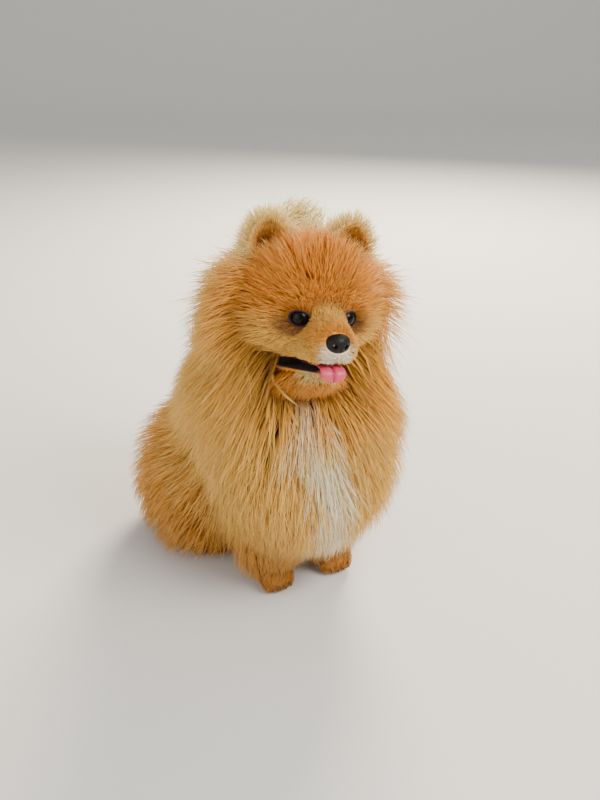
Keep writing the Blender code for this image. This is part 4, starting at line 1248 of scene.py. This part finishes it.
def lids(sign, name):
    """The dark rims of both lids of an eye, on the edge of the skin's opening."""
    sides = 64
    turns = round_turns(sides)
    opening = np.stack([EYE_OPENING[0] * np.cos(turns), EYE_OPENING[1] * np.sin(turns)], -1)
    outer = 1.22 * opening
    inner = 0.95 * opening
    matrix = eye_matrix(sign)
    shell = EYE_RADIUS + LID_THICKNESS + 0.0002
    depth = np.sqrt((EYE_RADIUS + 0.0001) ** 2 - (inner**2).sum(-1))
    rows = [moved(np.concatenate([inner, depth[:, None]], 1), matrix)]
    shares = np.array([0.0, 0.08, 0.18, 0.32, 0.50, 0.70, 0.88, 1.0])
    for share in shares:
        flat = opening + (outer - opening) * share
        across = (flat**2).sum(-1)
        rise = np.sqrt(np.maximum((shell - 0.0009 * share**3) ** 2 - across, (0.25 * shell) ** 2))
        rows.append(moved(np.concatenate([flat, rise[:, None]], 1), matrix))
    points = np.concatenate(rows)
    made = mesh_piece(name, points, round_grid(len(rows), sides)[:, ::-1])
    along = np.repeat(np.append(-0.1, shares), sides)
    colour = mix(markings(points), 0.4 * BROWN + 0.6 * DARK, 1 - ramp(along, 1.0, 1.6))
    colour = mix(colour, DARK, 1 - ramp(along, 0.45, 0.95))
    material = wet_material(name, 0.60, 0.0, {"Specular IOR Level": 0.20})
    bump(material, 900, 0.35, 0.0003)
    dress(made, colour, material)


def nose_form(points):
    """The nose leather: broad above, with comma-shaped nostrils and a groove."""
    x, y, z = NOSE
    front = y - NOSE_SIZE[1]
    top = ball((x, y + 0.0010, z + 0.0020), (0.0079, 0.0058, 0.0046))
    nostril = ball((0.0040, front + 0.0010, z - 0.0002), (0.0016, 0.0034, 0.0014))
    slit = limb((0.0056, front + 0.0012, z - 0.0010), (0.0084, front + 0.0044, z - 0.0016), 0.0006, 0.0004)
    groove = limb((x, front - 0.0002, z + 0.0006), (x, front + 0.0022, z - 0.0068), 0.0005, 0.0007)
    body = blend(ball(NOSE, NOSE_SIZE)(points), top(points), 0.002)
    hollows = [mirrored(nostril)(points), mirrored(slit)(points), groove(points)]
    return -blend(-body, np.min(hollows, axis=0), 0.0008)


def nose():
    """The nose leather, black and moist."""
    low = np.array(NOSE) - 0.0115
    axes = [np.arange(low[n], low[n] + 0.0230, 0.00032) for n in range(3)]
    points, faces = surface(nose_form, axes)
    made = mesh_piece("nose_leather", moved(points, HEAD), faces)
    material = wet_material("nose_leather", 0.42, 0.10, {"Specular IOR Level": 0.18})
    bump(material, 1500, 0.6, 0.0004, "ShaderNodeTexVoronoi", "Distance")
    dress(made, np.tile(LEATHER, (len(points), 1)), material)
    return made


def smooth_line(line, count):
    """A line of points with more points, by smooth curves between them."""
    line = np.array(line, float).reshape(len(line), -1)
    at = np.linspace(0, len(line) - 1, count)
    first = np.clip(at.astype(int), 0, len(line) - 2)
    t = (at - first)[:, None]
    before = line[np.maximum(first - 1, 0)]
    after = line[np.minimum(first + 2, len(line) - 1)]
    one, two = line[first], line[first + 1]
    slope_one, slope_two = (two - before) / 2, (after - one) / 2
    return (
        (2 * t**3 - 3 * t**2 + 1) * one
        + (t**3 - 2 * t**2 + t) * slope_one
        + (3 * t**2 - 2 * t**3) * two
        + (t**3 - t**2) * slope_two
    )


def tongue():
    """The tongue: broad, with raised edges and a groove along its middle, with painted shade in the groove
    and towards its back in the mouth.
    """
    count, sides = 44, 64
    line = smooth_line(TONGUE_LINE, count)
    ends = np.linspace(0, 1, count)
    taper = smooth_line(TONGUE_TAPER, count)[:, 0] * np.sqrt(1 - ramp(ends, 0.86, 1.0) * 0.96)
    across = np.array([1.0, 0, 0])
    up = np.cross(across[None], unit(np.gradient(line, axis=0)))
    turns = round_turns(sides)
    wide = np.cos(turns)
    high = np.sin(turns)
    groove = np.where(high > 0, -1.0 * np.exp(-((wide / 0.12) ** 2)) + 0.15 * wide**2, 0.0)
    rows = []
    for i in range(count):
        offset = up[i] * ((high + groove) * TONGUE_THICKNESS / 2 * (0.5 + 0.5 * taper[i]))[:, None]
        rows.append(line[i] + across * (wide * TONGUE_WIDTH / 2 * taper[i])[:, None] - offset)
    points = moved(np.concatenate(rows), HEAD)
    made = mesh_piece("tongue_skin", points, round_grid(count, sides))
    # Painted shade along the groove in the tongue's middle
    groove_shade = np.tile(np.exp(-((wide / 0.10) ** 2)) * (high > 0), count)
    colour = mix(np.tile(PINK, (len(points), 1)), GROOVE_SHADE, 0.8 * groove_shade)
    # Painted shade: the tongue darkens towards its back, inside the mouth
    colour = mix(colour, TONGUE_BACK_SHADE, 1 - ramp(np.repeat(ends, sides), 0.10, 0.50))
    depth = {"Subsurface Weight": 0.25, "Subsurface Radius": (0.004, 0.002, 0.0015)}
    material = wet_material("tongue_skin", 0.45, 0.15, depth)
    bump(material, 2200, 0.25, 0.0002)
    dress(made, colour, material)
    return made


def claws():
    """Four claws on each paw."""
    sides, count = 10, 9
    turns = round_turns(sides)[:, None]
    up = np.array((0, 0, 1.0))
    rows = []
    faces = []
    for ankle, foot in ((FORE_ANKLE, FORE_TOES), (HOCK, HIND_TOES)):
        for sign in (1, -1):
            places, ahead = toe_places(side(ankle, sign), side(foot, sign))
            across = np.array((-ahead[1], ahead[0], 0))
            for place in places:
                root = place + ahead * PAW_LENGTH * 0.20
                tip = place + ahead * (PAW_LENGTH * 0.42 + CLAW_LENGTH) - up * foot[2] * 0.45
                line = smooth_line((root, root * 0.4 + tip * 0.6 + up * 0.0010, tip), count)
                size = CLAW_RADIUS * np.sqrt(1 - np.linspace(0, 0.98, count) ** 2)
                faces.append(round_grid(count, sides) + len(rows) * sides)
                for here, radius in zip(line, size):
                    rows.append(here + radius * (np.cos(turns) * across + np.sin(turns) * up))
    points = np.concatenate(rows)
    made = mesh_piece("claws", points, np.concatenate(faces))
    dress(made, np.tile(HORN, (len(points), 1)), wet_material("claws", 0.35, 0.2, {}))


# Floor, light and camera


def floor():
    """A plain pale floor that turns up into a backdrop."""
    bend = np.linspace(0.08, 1, 40) * math.pi / 2
    back = np.concatenate([np.linspace(-3, 2.5, 12), 2.5 + 1.2 * np.sin(bend), [3.7]])
    rise = np.concatenate([np.zeros(12), 1.2 - 1.2 * np.cos(bend), [5.0]])
    turn = Matrix.Rotation(CAMERA_AZIMUTH, 3, "Z")
    points = [turn @ Vector((wide, y, z)) for wide in (-5, 5) for y, z in zip(back, rise)]
    number = len(back)
    faces = [(number + i, number + i + 1, i + 1, i) for i in range(number - 1)]
    mesh = bpy.data.meshes.new("floor")
    mesh.from_pydata(points, [], faces)
    mesh.polygons.foreach_set("use_smooth", np.ones(len(faces), bool))
    made = add_object("floor", mesh)
    colour = {"Base Color": (0.78, 0.77, 0.75, 1), "Roughness": 0.9}
    made.data.materials.append(principled("floor", colour, painted=False))


def area_light(name, place, target, size, power, colour):
    """A soft square light that looks at a point."""
    data = bpy.data.lights.new(name, "AREA")
    data.size = size
    data.energy = power
    data.color = colour
    made = add_object(name, data)
    made.location = place
    made.rotation_euler = (Vector(target) - Vector(place)).to_track_quat("-Z", "Y").to_euler()


def studio():
    """Soft light from above on the camera's right, with a weaker one from its left and a warm one behind."""
    world = bpy.data.worlds.new("studio")
    world.use_nodes = True
    set_inputs(world.node_tree.nodes["Background"], {"Color": (1.0, 0.98, 0.95, 1), "Strength": 0.55})
    bpy.context.scene.world = world
    middle = (0, 0, 0.16)
    area_light("key", (0.55, -1.10, 1.20), middle, 0.8, 30, (1.0, 0.95, 0.87))
    area_light("fill", (-1.30, -0.50, 0.60), middle, 1.2, 9, (1.0, 0.98, 0.95))
    area_light("rim", (0.90, 0.95, 0.95), middle, 0.6, 55, (1.0, 0.88, 0.68))


def camera():
    """The camera, above and before the dog on its right side."""
    data = bpy.data.cameras.new("camera")
    data.lens = CAMERA_LENS
    data.sensor_width = 36
    made = add_object("camera", data)
    made.location = Vector(CAMERA_PLACE) + Vector(SHIFT)
    made.rotation_euler = (math.pi / 2 - CAMERA_PITCH, 0, CAMERA_AZIMUTH)
    bpy.context.scene.camera = made


def frame_shift():
    """How far the frame stands from the modelling frame, from the place of an eye."""
    low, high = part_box("eye_left")
    middle = (np.array(low) + np.array(high)) / 2
    away = middle - turned(EYE)
    return np.array([away[0], away[1], 0.0])


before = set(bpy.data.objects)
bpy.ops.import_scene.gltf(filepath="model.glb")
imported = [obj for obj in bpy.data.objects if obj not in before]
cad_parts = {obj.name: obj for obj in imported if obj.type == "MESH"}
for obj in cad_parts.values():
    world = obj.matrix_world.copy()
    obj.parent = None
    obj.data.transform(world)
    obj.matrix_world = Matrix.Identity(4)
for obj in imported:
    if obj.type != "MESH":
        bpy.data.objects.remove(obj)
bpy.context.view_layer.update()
SHIFT = frame_shift()
flesh_nodes = [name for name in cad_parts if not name.startswith(("eye", "nose", "tongue"))]

skin_piece, skin_points, skin_faces, skin_unwrap = skin()
corners = skin_points[skin_faces]
diagonals = np.cross(corners[:, 2] - corners[:, 0], corners[:, 3] - corners[:, 1])
face_sizes = np.linalg.norm(diagonals, axis=1) / 2
face_parts = nearest_part(corners.mean(axis=1))
coat((skin_points, skin_faces, skin_unwrap, face_parts, face_sizes))
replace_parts(skin_piece, *flesh_nodes)
for side_name, side_sign in (("left", 1), ("right", -1)):
    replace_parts(eyeball(side_sign, f"eyeball_{side_name}"), f"eye_{side_name}")
    lids(side_sign, f"lids_{side_name}")
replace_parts(nose(), "nose")
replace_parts(tongue(), "tongue")
claws()
floor()
studio()
camera()
